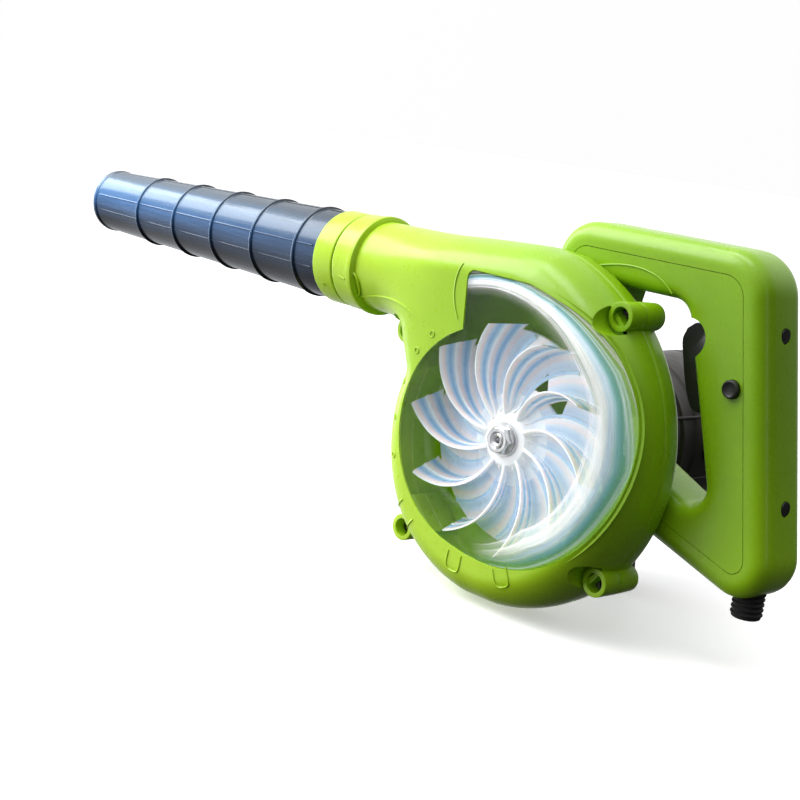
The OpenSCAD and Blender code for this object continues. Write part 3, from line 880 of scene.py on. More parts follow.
def build_rear_shell(material):
    counts = [len(side) for side in OUTLINE]
    r = MOTOR_R - 3
    angles = [(SCROLL_START, SCROLL_END), (SCROLL_END, 466), (466, 506), (506, SCROLL_START + 360)]
    loops = [[polar(r, a) for a in np.linspace(first, last, n)] for (first, last), n in zip(angles, counts)]
    inner = np.array([p for loop in loops for p in loop[:-1]])
    share = [0, 0.004, 0.012, 0.025, 0.045, 0.07, 0.1, 0.14, 0.19, 0.25, 0.32, 0.4, 0.5, 0.6, 0.7, 0.8, 0.9]
    sheet = finish_mesh("rear_shell_sheet", casing_sheet(inner, share, rear_y, 0.6), 40)
    face_towards(sheet, Vector((0, 1, 0)))
    thicken(sheet, WALL)
    parts = []
    for k, (x, z) in enumerate(TOWERS):
        post = rounded([(0.0, SEAM_Y + 0.1), (TOWER_R + 0.1, SEAM_Y + 0.1), (TOWER_R - 0.3, BACK_Y - 0.4, 1.2),
                        (0.0, BACK_Y - 0.2)], 0.5, 3, closed=False)
        parts.append(finish_mesh("post", Mesh().turned(post, 40, centre=(x, z), closed=False)))
        parts.append(gusset(x, z, SEAM_Y + 0.1, BACK_Y - 2.5, GUSSET_REACH[k]))
    boss = rounded([(MOTOR_R - 2.5, 42.8), (MOTOR_R - 2.5, BACK_Y), (14, BACK_Y, 1), (14, 52.6, 1), (11, 52.6),
                    (11, BACK_Y), (7, BACK_Y), (7, 42.8)], 0.3, 2)
    parts.append(finish_mesh("boss", Mesh().turned(boss, 72)))
    join(sheet, parts)
    return settle(sheet, "housing", material, ["rear_shell"])


def build_shroud(material):
    """The clear window: a flat skirt that rises over the air channel and a rounded intake eye."""
    outer = window_loop(-0.4)
    angles = np.degrees(np.arctan2(outer[:, 1], outer[:, 0]))
    rim = EYE_R + 2
    inner = np.array([polar(rim, a) for a in angles])
    rows = []
    turn = (angles + 360) % 360
    right = np.where(turn > 180, turn - 360, turn)
    swell = smooth((right + 112) / 50) * smooth((118 - right) / 40)
    for t in np.linspace(0, 1, 44) ** 1.5:
        points = outer + (inner - outer) * t
        crown = np.sin(np.pi * np.clip(t / 0.62, 0, 1)) ** 1.3
        dome = 1.2 * math.sin(math.pi * t)
        y = front_y(points) + 0.5 - 3.5 * crown * swell - dome
        if t > 0.9:
            y = y - 1.6 * (t - 0.9) / 0.1
        rows.append([(p[0], q, p[1]) for p, q in zip(points, y)])
    sheet = finish_mesh("shroud_sheet", Mesh().grid(rows, wrap_columns=True), 60)
    face_towards(sheet, Vector((0, -1, 0)))
    thicken(sheet, 1.6)
    lip = rounded([(rim + 0.8, 0.2), (rim + 0.8, 3.2), (rim - 1.6, 3.4), (rim - 1.6, 0.2)], 0.9, 4)
    join(sheet, [finish_mesh("lip", Mesh().turned(lip, 120))])
    return settle(sheet, "housing", material, ["clear_shroud"])


# ---- outlet and nozzle ----
DUCT_AXIS = (SEAM_Y, DUCT_Z)


def on_tube(x, degrees, r):
    """A point on a tube round the outlet axis. 180 degrees faces the front, 90 faces up."""
    y, z = polar(r, degrees)
    return (x, SEAM_Y + y, DUCT_Z + z)


def build_collar(material):
    r = RING_R + 0.4
    profile = rounded([(DUCT_R - 0.2, STUB_X), (r - 0.5, STUB_X), (r, STUB_X + 0.8), (r, -115.2), (r + 0.9, -114.6),
                       (r + 0.9, -111.2), (DUCT_R - 0.2, -109.8)], 0.45, 3)
    mesh = Mesh().turned(profile, 128, "x", DUCT_AXIS)
    for start in (196, 16):
        arrow = [on_tube(-121 + 0.9 * k, start + 0.5 * k, r + 0.1) for k in range(6)]
        mesh.tube(arrow, 0.45, 6)
    notch = [on_tube(-111.5 + 4.5 * math.sin(a), 205 + 16 * math.cos(a), DUCT_R + 0.5)
             for a in np.linspace(0, math.pi, 12)]
    mesh.tube(notch, 0.6, 8)
    return settle(finish_mesh("collar_ring", mesh), "housing", material, ["outlet_collar"])


def build_seal(material):
    x0, x1 = extent("outlet_seal", 0)
    profile = rounded([(DUCT_R - 2, x0), (DUCT_R + 0.9, x0), (DUCT_R + 0.9, x1), (DUCT_R - 2, x1)], 0.25, 3)
    obj = finish_mesh("seal_ring", Mesh().turned(profile, 96, "x", DUCT_AXIS))
    return settle(obj, "housing", material, ["outlet_seal"])


def build_nozzle_ring(material):
    x0, x1 = extent("nozzle_ring", 0)
    profile = rounded([(24, x0), (RING_R - 0.3, x0), (RING_R, x0 + 0.7), (RING_R, x1 - 0.7),
                       (RING_R - 0.4, x1), (24, x1)], 0.4, 3)
    mesh = Mesh().turned(profile, 128, "x", DUCT_AXIS)
    middle = (x0 + x1) / 2
    dot = [on_tube(middle + 0.9 * math.cos(a), 214 + 2 * math.sin(a), RING_R + 0.05)
           for a in np.linspace(0, 2 * math.pi, 15)[:-1]]
    mesh.tube(dot, 0.32, 6, closed=True)
    return settle(finish_mesh("twist_ring", mesh), "nozzle", material, ["nozzle_ring"])


TIP_R = 19.4
NOZZLE_END_R = 25.6
RIB_COUNT = 5
RIB_STEP = 40.3
FIRST_RIB_X = -324


def nozzle_r(x):
    return TIP_R + (NOZZLE_END_R - TIP_R) * (x - TIP_X) / (NOZZLE_X - TIP_X)


def build_nozzle(material):
    """A tapered tube with raised rings, a rolled tip and two mould lines along its sides."""
    outside = [(TIP_R - 0.3, TIP_X), (TIP_R + 0.8, TIP_X + 0.5), (TIP_R + 0.8, TIP_X + 3),
               (nozzle_r(TIP_X + 4), TIP_X + 4)]
    for k in range(RIB_COUNT):
        x = FIRST_RIB_X + RIB_STEP * k
        r = nozzle_r(x)
        outside += [(r, x - 2.0), (r + 0.2, x - 1.2), (r + 1.15, x - 0.8), (r + 1.25, x), (r + 1.15, x + 0.8),
                    (r + 0.2, x + 1.2), (r, x + 2.0)]
    outside += [(25.4, NOZZLE_X - 1.2), (25.0, NOZZLE_X - 0.05), (23.9, NOZZLE_X), (23.9, STUB_X - 1.1),
                (DUCT_R - 2.8, STUB_X - 1.1), (DUCT_R - 2.8, SPIGOT_X)]
    inside = [(20, SPIGOT_X), (20, NOZZLE_X), (17.3, TIP_X + 14), (17.2, TIP_X + 1.2), (18.2, TIP_X)]
    mesh = Mesh().turned(rounded(outside + inside, 0.5, 2), 144, "x", DUCT_AXIS)
    for side, bead in ((100, 0.3), (280, 0.3), (168, 0.5), (196, 0.3)):
        line = [on_tube(x, side, nozzle_r(x) + 0.05) for x in np.linspace(TIP_X + 6, NOZZLE_X - 3, 40)]
        mesh.tube(line, bead, 6)
    return settle(finish_mesh("nozzle_tube", mesh), "nozzle", material, ["nozzle"])


# ---- fan ----
FAN_R = 60.0
HUB_R = 14.0
HUB_Y = 22.2
DISC_R = 55.4
TIP_Y = 11.4
BLADE_COUNT = 10
FLUTES = 2
LEAN = 0.3
BLADE_LAG = 34
LAG_POWER = 1.6
FIRST_TIP = 102.5


def lag(r):
    return BLADE_LAG * (1 - max((r - HUB_R) / (FAN_R - HUB_R), 0) ** LAG_POWER)


def disc_y(r):
    return float(np.interp(r, [0, HUB_R, HUB_R + 3, 30, DISC_R, FAN_R], [HUB_Y, HUB_Y, 26, 28.5, 32, 33]))


def front_edge(r):
    return HUB_Y - 0.6 + (TIP_Y - HUB_Y + 0.6) * (r - HUB_R) / (FAN_R - HUB_R)


def back_edge(r):
    return disc_y(r) + 0.6


def flute(share):
    """Height of the rounded ridges across a blade's face, from its front edge to its back edge."""
    return sum(0.55 * math.exp(-((share - k / FLUTES) / 0.045) ** 2) for k in range(1, FLUTES + 1))


def blade(mesh, tip_angle):
    """One swept, leaning blade: the back edge lags the front edge, and ridges run along its face."""
    shares = [0.0, 0.02, 0.06, 0.12] + list(np.linspace(0.18, 1.0, 26))
    rings = []
    for r in np.linspace(HUB_R - 0.8, FAN_R, 34):
        y0, y1 = front_edge(r), back_edge(r)
        half = 0.75 + 0.25 * min(max((FAN_R - r) / 12, 0), 1)
        outline = [(-half * min(1, 0.35 + 6 * q) - flute(q), q) for q in reversed(shares)]
        outline += [(half * min(1, 0.35 + 6 * q), q) for q in shares]
        ring = []
        for across, q in outline:
            y = y0 + (y1 - y0) * q
            x, z = polar(r, tip_angle + lag(r) + math.degrees((across - LEAN * (y - y0)) / r))
            ring.append((x, y, z))
        rings.append(ring)
    mesh.loft(rings)


def disc_rib(mesh, tip_angle):
    """A low rounded rib on the disc, half way between two blades."""
    radii = np.linspace(HUB_R + 1, DISC_R - 0.5, 24)
    path = []
    for r in radii:
        x, z = polar(r, tip_angle + lag(r) - math.degrees(LEAN * (back_edge(r) - front_edge(r)) / r))
        path.append((x, disc_y(r) - 0.2, z))
    mesh.tube(path, [0.5 + 0.9 * k / (len(path) - 1) for k in range(len(path))], 8)


def build_impeller(material):
    mesh = Mesh()
    pitch = 360 / BLADE_COUNT
    for k in range(BLADE_COUNT):
        blade(mesh, FIRST_TIP + pitch * k)
        disc_rib(mesh, FIRST_TIP + pitch * (k - 0.42))
    vanes = finish_mesh("vanes", mesh, 50)
    disc = finish_mesh("disc", fan_disc(), 40)
    for angle, r in ((65.5, 34.5), (41, 35.5)):
        cut(disc, wedge(angle, r))
    join(disc, [vanes])
    disc.name = "fan_wheel"
    return settle(disc, "rotor", material, ["impeller"])


def fan_disc():
    """The back disc, with a saw-toothed rim, and the hub with a boss behind it."""
    pitch = 360 / BLADE_COUNT
    rows = []
    for a in range(360):
        tooth = ((a - FIRST_TIP) % pitch) / pitch
        rim = DISC_R + 2.2 * tooth ** 1.5
        c, s = math.cos(math.radians(a)), math.sin(math.radians(a))
        profile = [(4.05, HUB_Y + 0.2), (5, HUB_Y), (HUB_R - 1.2, HUB_Y), (HUB_R - 0.3, HUB_Y + 0.3),
                   (HUB_R + 0.4, HUB_Y + 1.2), (HUB_R + 1.6, disc_y(HUB_R + 1.8)), (HUB_R + 4, disc_y(HUB_R + 4))]
        profile += [(r, disc_y(r)) for r in np.linspace(20, rim - 0.5, 12)]
        profile += [(rim, disc_y(rim) + 0.5), (rim, disc_y(rim) + 1.2), (rim - 0.5, disc_y(rim) + 1.7)]
        profile += [(r, disc_y(r) + 1.8) for r in np.linspace(rim - 3, 20, 8)]
        profile += [(14, 31.5), (10.5, 33), (10, 38), (4.05, 38)]
        rows.append([(r * c, y, r * s) for r, y in profile])
    return Mesh().grid(rows, wrap_rows=True, wrap_columns=True)


def wedge(angle, r):
    """A small three-cornered plug, for a balancing opening in the disc."""
    corners = [polar(r + 7, angle + 2), polar(r - 5, angle + 9), polar(r - 2, angle - 10)]
    return finish_mesh("wedge", Mesh().prism(rounded(corners, 1.2, 3), 22, 42))


def build_nut(material):
    """A chamfered hexagon nut with a washer face."""
    rings = []
    segments = 72
    for k in range(segments):
        a = 2 * math.pi * k / segments + math.radians(30)
        flat = 6.5 / math.cos((a - math.radians(30) + math.pi / 6) % (math.pi / 3) - math.pi / 6)
        c, s = math.cos(a), math.sin(a)
        shape = [(4.1, 20.9), (4.1, 16.7), (4.7, 16.1), (6.2, 16.05), (min(flat, 6.6), 16.25),
                 (min(flat, 7.2), 16.7), (flat, 17.4), (flat, 20.3), (min(flat + 0.4, 7.9), 20.5), (8.0, 20.6),
                 (8.0, 20.95)]
        rings.append([(r * c, y, r * s) for r, y in shape])
    mesh = Mesh().grid(rings, wrap_rows=True, wrap_columns=True)
    return settle(finish_mesh("hex_nut", mesh, 25), "rotor", material, ["impeller_nut"])


def build_washer(material):
    profile = rounded([(4.1, 21), (9, 21), (9, HUB_Y), (4.1, HUB_Y)], 0.3, 3)
    washer = finish_mesh("plain_washer", Mesh().turned(profile, 72))
    return settle(washer, "rotor", material, ["impeller_washer"])


def build_shaft(material):
    """The motor shaft: chamfered, with a centre drilling, thread grooves and a stepped rear end."""
    y0, y1 = extent("motor_shaft", 1)
    profile = [(0.0, y0 + 3.2), (1.5, y0 + 2.4), (1.7, y0 - 0.6), (2.5, y0 - 1.4), (3.2, y0 - 1.5),
               (3.6, y0 - 1.1)]
    for k in range(7):
        y = y0 - 0.7 + k * 0.9
        profile += [(3.95, y), (3.95, y + 0.25), (3.55, y + 0.45), (3.55, y + 0.7)]
    profile += [(4.0, y0 + 6), (4.0, 154), (3.0, 154.3), (3.0, y1 - 0.5), (2.5, y1), (0.0, y1)]
    shaft = finish_mesh("fan_shaft", Mesh().turned(profile, 64, closed=False), 40)
    return settle(shaft, "rotor", material, ["motor_shaft"])


# ---- motor ----
SCREW_ANGLES = (45, 135, 225, 315)
BRUSH_AXIS = (144, 0)


def build_motor_housing(material):
    """The motor can: a stepped tube with cooling ribs, side seams and brush bosses."""
    r = MOTOR_R
    profile = [(r - 2.7, BACK_Y), (r - 0.6, BACK_Y), (r, BACK_Y + 0.6), (r, BACK_Y + 9),
               (r - 1.2, BACK_Y + 10.5), (r - 1.2, 84)]
    for k in range(7):
        y = 86 + k * 5.0
        profile += [(r - 1.2, y), (r + 0.0, y + 0.7), (r + 0.0, y + 2.0), (r - 1.2, y + 2.7)]
    profile += [(r - 1.2, 128), (r - 0.2, 129.5), (r - 0.2, CAP_Y - 1), (r - 0.7, CAP_Y - 0.2),
                (r - 2.7, CAP_Y - 0.2)]
    mesh = Mesh().turned(rounded(profile, 0.4, 2), 144)
    for side in (-1, 1):
        for z in (-17.5, 17.5):
            x = side * math.sqrt(r * r - z * z)
            seam = [(x * 0.995, y, z * 0.995) for y in np.linspace(BACK_Y + 2, CAP_Y - 2, 30)]
            mesh.tube(seam, 0.9, 8)
    obj = finish_mesh("motor_can", mesh)
    parts = []
    lug = rounded([(1.7, BACK_Y + 0.1), (5, BACK_Y + 0.1), (5, 50, 0.8), (1.7, 50)], 0.3, 3)
    for a in SCREW_ANGLES:
        parts.append(finish_mesh("lug", Mesh().turned(lug, 32, centre=polar(49.5, a))))
    boss = rounded([(6.1, 41.2), (8.6, 41.2), (7.9, 46.3, 1.0), (6.1, 46.3, 0.5)], 0.4, 3)
    for side in (-1, 1):
        profile = [(q, side * h) for q, h in boss]
        parts.append(finish_mesh("boss", Mesh().turned(profile, 40, "x", BRUSH_AXIS)))
    join(obj, parts)
    return settle(obj, "housing", material, ["motor_housing"])


def build_end_cap(material):
    """The rear cap: a rounded dome with radial vent slots and sunken screw seats."""
    r = MOTOR_R
    slots, per = 24, 12
    radii = [14.0, 16.0, 19, 22, 26, 30, 33.0, 34.5]
    rows = []
    for k in range(slots * per):
        a = 2 * math.pi * k / (slots * per)
        c, s = math.cos(a), math.sin(a)
        profile = [(0.0, MOTOR_END_Y - 0.2), (6, MOTOR_END_Y - 0.1), (12, MOTOR_END_Y)]
        profile += [(q, MOTOR_END_Y) for q in radii]
        profile += [(r - 5, MOTOR_END_Y), (r - 2.4, MOTOR_END_Y - 1.0), (r - 0.7, MOTOR_END_Y - 3.4),
                    (r, MOTOR_END_Y - 6.5), (r, CAP_Y + 2.2), (r - 0.6, CAP_Y + 1.4), (r - 0.6, CAP_Y + 0.4),
                    (r - 1.0, CAP_Y), (r - 2.7, CAP_Y), (r - 2.7, MOTOR_END_Y - 3.2), (0.0, MOTOR_END_Y - 3.2)]
        rows.append([(q * c, y, q * s) for q, y in profile])
    obj = finish_mesh("cap_dome", Mesh().grid(rows, wrap_rows=True), 40)
    tools = Mesh()
    slot = rounded([(14.5, -1.1), (14.5, 1.1), (33.5, 1.7), (33.5, -1.7)], 1.0, 3)
    for k in range(slots):
        turn = Matrix.Rotation(math.radians(360 / slots * k), 2)
        tools.prism([turn @ Vector(p) for p in slot], MOTOR_END_Y - 6, MOTOR_END_Y + 3)
    for a in SCREW_ANGLES:
        tools.rod(3.7, MOTOR_END_Y - 1.6, MOTOR_END_Y + 3, 32, centre=polar(37.5, a))
    cut(obj, finish_mesh("slots", tools))
    for p in obj.data.polygons:
        p.use_smooth = True
    keep_sharp(obj, 35)
    return settle(obj, "housing", material, ["motor_end_cap"])


def build_foot(material):
    """The stand: a curved bracket with two legs and a flat sole."""
    outer = rounded([(-34, FLOOR_Z + 2), (18, FLOOR_Z + 2), (18, FLOOR_Z + 8), (14, -38), (-24, -34),
                     (-34, FLOOR_Z + 8)], 4, 5)
    hole = rounded([(-28, FLOOR_Z + 8), (12, FLOOR_Z + 8), (8, -52), (-19, -52)], 4, 5)
    y0, y1 = extent("motor_foot", 1)
    obj = finish_mesh("stand_frame", Mesh().prism(outer, y0, y1))
    cut(obj, finish_mesh("gap", Mesh().prism(hole, y0 - 2, y1 + 2)))
    cut(obj, finish_mesh("drum", Mesh().rod(MOTOR_R + 0.02, y0 - 4, y1 + 4, 96)))
    soften(obj, 1.2)
    keep_sharp(obj, 50)
    return settle(obj, "housing", material, ["motor_foot"])


def build_pads(material):
    y0, y1 = extent("foot_pads", 1)
    mesh = Mesh()
    middle_y, half_y = (y0 + y1) / 2, (y1 - y0) / 2
    ring = rounded([(-6, -half_y), (6, -half_y), (6, half_y), (-6, half_y)], 2.5, 5)
    for x in (-33, 5):
        rings = []
        for z, inset in ((FLOOR_Z, 0.5), (FLOOR_Z + 0.5, 0.0), (FLOOR_Z + 2, 0.0)):
            narrow, short = 1 - inset / 6, 1 - inset / 10
            rings.append([(x + 6 + px * narrow, middle_y + py * short, z) for px, py in ring])
        mesh.loft(rings)
        for k in range(5):
            y = y0 + 3.2 + 3.4 * k
            mesh.tube([(x + 1.5, y, FLOOR_Z + 0.5), (x + 10.5, y, FLOOR_Z + 0.5)], 0.49, 6)
    return settle(finish_mesh("rubber_pads", mesh), "housing", material, ["foot_pads"])


# ---- handle ----
COVER_T = 12.5
HANDLE_TOP = 117
HANDLE_FIT_R = 51
GRIP_Y = 62
BUTTON_PLACE = (115, 52)
CORD_PLACE = (134, GRIP_Y)
PIN_PLACE = (100, 86)
CORNER = (131, -27.5)


def loop_outer(inset, steps=14):
    return (arc((16, HANDLE_TOP - 22), 22 - inset, 175, 90, steps)
            + arc((101, HANDLE_TOP - 24), 24 - inset, 90, 11.7, steps)
            + arc(CORNER, 19 - inset, 11.7, -108.5, steps)
            + [(52 + 0.317 * inset, -21.3 + 0.948 * inset)])


def loop_inner(inset, steps=14):
    return ([(26, 87.5 + inset)] + arc((71, 75.5), 12 + inset, 90, 18.2, steps)
            + arc((98.8, 0.4), 9 + inset, 18.2, -114.7, steps) + [(52, 12 - inset)])


def edge_profile(depth, round_r, steps=7):
    """Across the handle, from its front face round to its back face: (inset, y) pairs."""
    y0, y1 = BACK_Y, HANDLE_Y
    out = [(depth, y0), ((depth + round_r) / 2 + 0.01, y0)]
    for k in range(steps + 1):
        a = math.pi / 2 * k / steps
        out.append((round_r * (1 - math.sin(a)), y0 + round_r * (1 - math.cos(a))))
    for k in range(steps + 1):
        a = math.pi / 2 * k / steps
        out.append((round_r * (1 - math.cos(a)), y1 - round_r * (1 - math.sin(a))))
    return out + [((depth + round_r) / 2 + 0.01, y1), (depth, y1)]


def swept(outline, profile, steps):
    """Rings of a profile along an outline that can be inset, closed at the profile's base."""
    shapes = {}
    rings = []
    for inset, _ in profile:
        shapes.setdefault(round(inset, 4), resampled_like(outline(inset), outline(0), steps))
    for k in range(steps):
        places = [(shapes[round(inset, 4)][k], y) for inset, y in profile]
        rings.append([(p[0], y, p[1]) for p, y in places])
    return rings


def resampled_like(points, guide, count):
    """Resamples points at the places that even spacing along guide gives."""
    g = np.array(guide, float)
    step = np.linalg.norm(np.diff(g, axis=0), axis=1)
    along = np.concatenate([[0], np.cumsum(step)])
    want = np.linspace(0, along[-1], count)
    p = np.array(points, float)
    return np.stack([np.interp(want, along, p[:, k]) for k in range(2)], axis=1)


def casing_room():
    """The round room that the handle leaves for the casing and the motor."""
    return finish_mesh("drum", Mesh().rod(HANDLE_FIT_R, 40, 90, 128))


def build_handle_cover(material):
    rings = swept(loop_outer, edge_profile(COVER_T - 0.15, 9), 170)
    obj = finish_mesh("grip_cover", Mesh().loft(rings), 40)
    cut(obj, casing_room())
    holes = Mesh()
    for z, x in ((80, 126.8), (0, 143.3)):
        holes.rod(3.9, x, x + 30, 32, "x", (GRIP_Y, z))
    holes.rod(8.1, -62, -30, 40, "z", CORD_PLACE)
    cut(obj, finish_mesh("holes", holes))
    keep_sharp(obj, 38)
    return settle(obj, "housing", material, ["handle_cover"])


def build_handle_body(material):
    count = 150
    outer = resampled(loop_outer(COVER_T + 0.15), count)
    inner = {i: resampled(loop_inner(i), count) for i in (0.0, 0.35, 1.4, 3.0, 5.0, 7.5)}
    y0, y1 = BACK_Y, HANDLE_Y
    section = [(7.5, 0.0), (5.0, 0.25), (3.0, 1.1), (1.4, 2.8), (0.35, 5.2), (0.0, 7.5)]
    rings = []
    for k in range(count):
        ring = [(*outer[k], y0), (*((outer[k] + inner[7.5][k]) / 2), y0)]
        ring += [(*inner[i][k], y0 + dy) for i, dy in section]
        ring += [(*inner[i][k], y1 - dy) for i, dy in reversed(section)]
        ring += [(*((outer[k] + inner[7.5][k]) / 2), y1), (*outer[k], y1)]
        rings.append([(x, y, z) for x, z, y in ring])
    obj = finish_mesh("grip_body", Mesh().loft(rings), 40)
    root = rounded([(7, 97), (7, 64), (33, 64), (38, 90), (33, 97)], 2, 4)
    cut(obj, finish_mesh("root", Mesh().prism(root, y0 + 0.05, y1 - 8)), "UNION")
    cut(obj, casing_room())
    room = rounded([(74, 32), (104, 32), (104, 82), (74, 82)], 3, 4)
    cut(obj, finish_mesh("room", Mesh().prism(room, 49.6, 74.8)))
    holes = Mesh().rod(4.7, 40, 52, 40, centre=BUTTON_PLACE)
    holes.rod(8.1, -62, -34, 40, "z", CORD_PLACE)
    holes.rod(9.6, 40, 90, 48, centre=(86, 71))
    cut(obj, finish_mesh("holes", holes))
    keep_sharp(obj, 38)
    line = [(p.x, y0 - 0.05, p.y) for p in bend((18, 94), (56, 106), (72, 90), 42)]
    join(obj, [finish_mesh("panel_line", Mesh().tube(line, 0.5, 8))])
    return settle(obj, "housing", material, ["handle_body"])


def build_trigger(material):
    """The trigger: a curved paddle with finger grooves and the arm to its pivot."""
    y0, y1 = extent("trigger", 1)
    side = through([(80, 75), (78.2, 69), (80.5, 60), (84.3, 48), (88.5, 39), (92, 35.6), (98, 35.4), (101, 38),
                    (103, 48), (101.5, 58), (103.6, 66), (105, 80), (104, 89), (100, 91.5), (95.5, 88.5),
                    (93.5, 79), (88, 78.6), (83, 78)], 5)[:-1]
    rings = []
    middle_x, middle_z = 93, 62
    levels = [(0, 0.06), (0.9, 0.025), (2.6, 0.0)]
    for y, shrink in [(y0 + d, q) for d, q in levels] + [(y1 - d, q) for d, q in reversed(levels)]:
        rings.append([(middle_x + (p[0] - middle_x) * (1 - shrink), y,
                       middle_z + (p[1] - middle_z) * (1 - shrink / 2)) for p in side])
    obj = finish_mesh("trigger_paddle", Mesh().loft(rings), 40)
    cut(obj, finish_mesh("pin", Mesh().rod(2.1, 40, 90, 24, centre=PIN_PLACE)))
    ribs = Mesh()
    for k in range(5):
        t = k / 4
        x, z = 80.2 + 6.6 * t, 63 - 19 * t
        ribs.tube([(x - 0.1, y0 + 3.5, z), (x - 0.1, y1 - 3.5, z)], 0.7, 8)
    join(obj, [finish_mesh("ribs", ribs)])
    return settle(obj, "trigger", material, ["trigger"])


def build_lock_button(material):
    y0, y1 = extent("lock_button", 1)
    profile = [(0.0, y0 + 0.7), (2.6, y0 + 0.45), (3.6, y0), (4.2, y0 + 0.15), (4.5, y0 + 0.6), (4.5, y1 - 1.7),
               (5.6, y1 - 1.5), (5.6, y1), (0.0, y1)]
    mesh = Mesh().turned(profile, 48, centre=BUTTON_PLACE, closed=False)
    return settle(finish_mesh("lock_knob", mesh), "lock_button", material, ["lock_button"])


def build_inlet(material):
    """The cord inlet: a collar with grip ribs and a bore for the cord."""
    z0, z1 = extent("cord_inlet", 2)
    profile = [(4.2, z1), (4.2, z0 + 0.8), (5.0, z0), (6.6, z0), (7.3, z0 + 0.6)]
    for k in range(4):
        z = z0 + 1.6 + 2.6 * k
        profile += [(7.0, z), (7.9, z + 0.4), (7.9, z + 1.3), (7.0, z + 1.7)]
    profile += [(7.9, z0 + 12.5), (7.9, z1)]
    mesh = Mesh().turned(rounded(profile, 0.3, 2), 56, "z", CORD_PLACE)
    return settle(finish_mesh("cord_gland", mesh), "housing", material, ["cord_inlet"])


def build_brush_caps(material):
    profile = [(0.0, 41.8), (5.9, 41.8), (5.9, 45.7, 0.5), (5.2, 46.2), (0.0, 46.2)]
    profile = rounded(profile, 0.3, 3, closed=False)
    slot = rounded([(139.8, -0.65), (148.2, -0.65), (148.2, 0.65), (139.8, 0.65)], 0.3, 2)
    parts, slots = Mesh(), Mesh()
    for side in (-1, 1):
        parts.turned([(q, side * h) for q, h in profile], 40, "x", BRUSH_AXIS, closed=False)
        slots.loft([[(side * x, y, z) for y, z in slot] for x in (45.2, 47)])
    obj = finish_mesh("brush_knobs", parts)
    cut(obj, finish_mesh("slots", slots))
    keep_sharp(obj, 35)
    return settle(obj, "housing", material, ["brush_caps"])


# ---- the set: floor, lights, camera ----
FLOOR_SIZE = 40.0
BACKDROP_R = 9.0


def build_stage():
    """A pale floor and a plain bright backdrop; neither lights the object."""
    data = bpy.data.meshes.new("floor")
    corners = [(-FLOOR_SIZE, -FLOOR_SIZE, 0), (FLOOR_SIZE, -FLOOR_SIZE, 0), (FLOOR_SIZE, FLOOR_SIZE, 0),
               (-FLOOR_SIZE, FLOOR_SIZE, 0)]
    data.from_pydata(corners, [], [(0, 1, 2, 3)])
    floor = bpy.data.objects.new("floor", data)
    floor.location.z = cad_low.z - 0.0002
    bpy.context.scene.collection.objects.link(floor)
    n = Nodes("floor_paint")
    n.feed("Base Color", n.ramp(n.noise(3, 3), [(0.3, (0.86,) * 3), (0.7, (0.9,) * 3)]))
    n.gloss(n.noise(60, 3), 0.5, 0.6)
    n.set(Emission_Color=(1, 1, 1, 1), Emission_Strength=0.42)
    data.materials.append(n.material)
    floor.visible_shadow = False
    dome = bpy.data.meshes.new("backdrop")
    bm = bmesh.new()
    bmesh.ops.create_uvsphere(bm, u_segments=48, v_segments=24, radius=BACKDROP_R)
    bm.to_mesh(dome)
    bm.free()
    backdrop = bpy.data.objects.new("backdrop", dome)
    bpy.context.scene.collection.objects.link(backdrop)
    backdrop.visible_shadow = False
    backdrop.visible_transmission = False
    n = Nodes("backdrop_paint")
    n.feed("Emission Color", n.ramp(n.noise(0.1, 2), [(0.3, (0.97,) * 3), (0.7, (1.0,) * 3)]))
    n.set(Base_Color=(0, 0, 0, 1), Emission_Strength=1.0)
    dome.materials.append(n.material)
    for obj in (floor, backdrop):
        obj.visible_diffuse = False
        obj.visible_glossy = False


def direction(azimuth, elevation):
    """From the object outwards, in degrees, azimuth 0 being the front."""
    a, e = math.radians(azimuth), math.radians(elevation)
    return Vector((math.sin(a) * math.cos(e), -math.cos(a) * math.cos(e), math.sin(e)))


def softbox(name, azimuth, elevation, distance, size, power, colour=(1, 1, 1), reflected=True):
    """An area light that faces the object from a direction."""
    target = (cad_low + cad_high) / 2
    back = direction(azimuth, elevation)
    light = bpy.data.lights.new(name, "AREA")
    light.shape = "RECTANGLE"
    light.size, light.size_y = size
    light.energy = power
    light.color = colour
    obj = bpy.data.objects.new(name, light)
    obj.location = target + back * distance
    obj.rotation_mode = "QUATERNION"
    obj.rotation_quaternion = (-back).to_track_quat("-Z", "Y")
    obj.visible_glossy = reflected
    bpy.context.scene.collection.objects.link(obj)


def build_lights():
    softbox("key", -48, 42, 1.3, (1.1, 0.9), 15)
    softbox("top", -30, 76, 1.2, (1.1, 0.35), 6)
    softbox("left_strip", -80, 12, 1.1, (0.2, 1.0), 4, (0.85, 0.93, 1.0))
    softbox("low_left", -50, -16, 1.2, (1.0, 0.5), 6, reflected=False)
    softbox("right_edge", 75, 15, 1.4, (0.08, 0.9), 0.5)
    inside_light()
    build_world()
    bpy.context.scene.view_settings.view_transform = "Standard"


def inside_light():
    """A faint round lamp just behind the clear window, which faces into the fan room."""
    light = bpy.data.lights.new("fan_room", "AREA")
    light.shape = "DISK"
    light.size = 0.12
    light.energy = 0.013
    obj = bpy.data.objects.new("fan_room", light)
    obj.location = at(6, 5, 0)
    obj.rotation_euler = (math.radians(90), 0, 0)
    bpy.context.scene.collection.objects.link(obj)


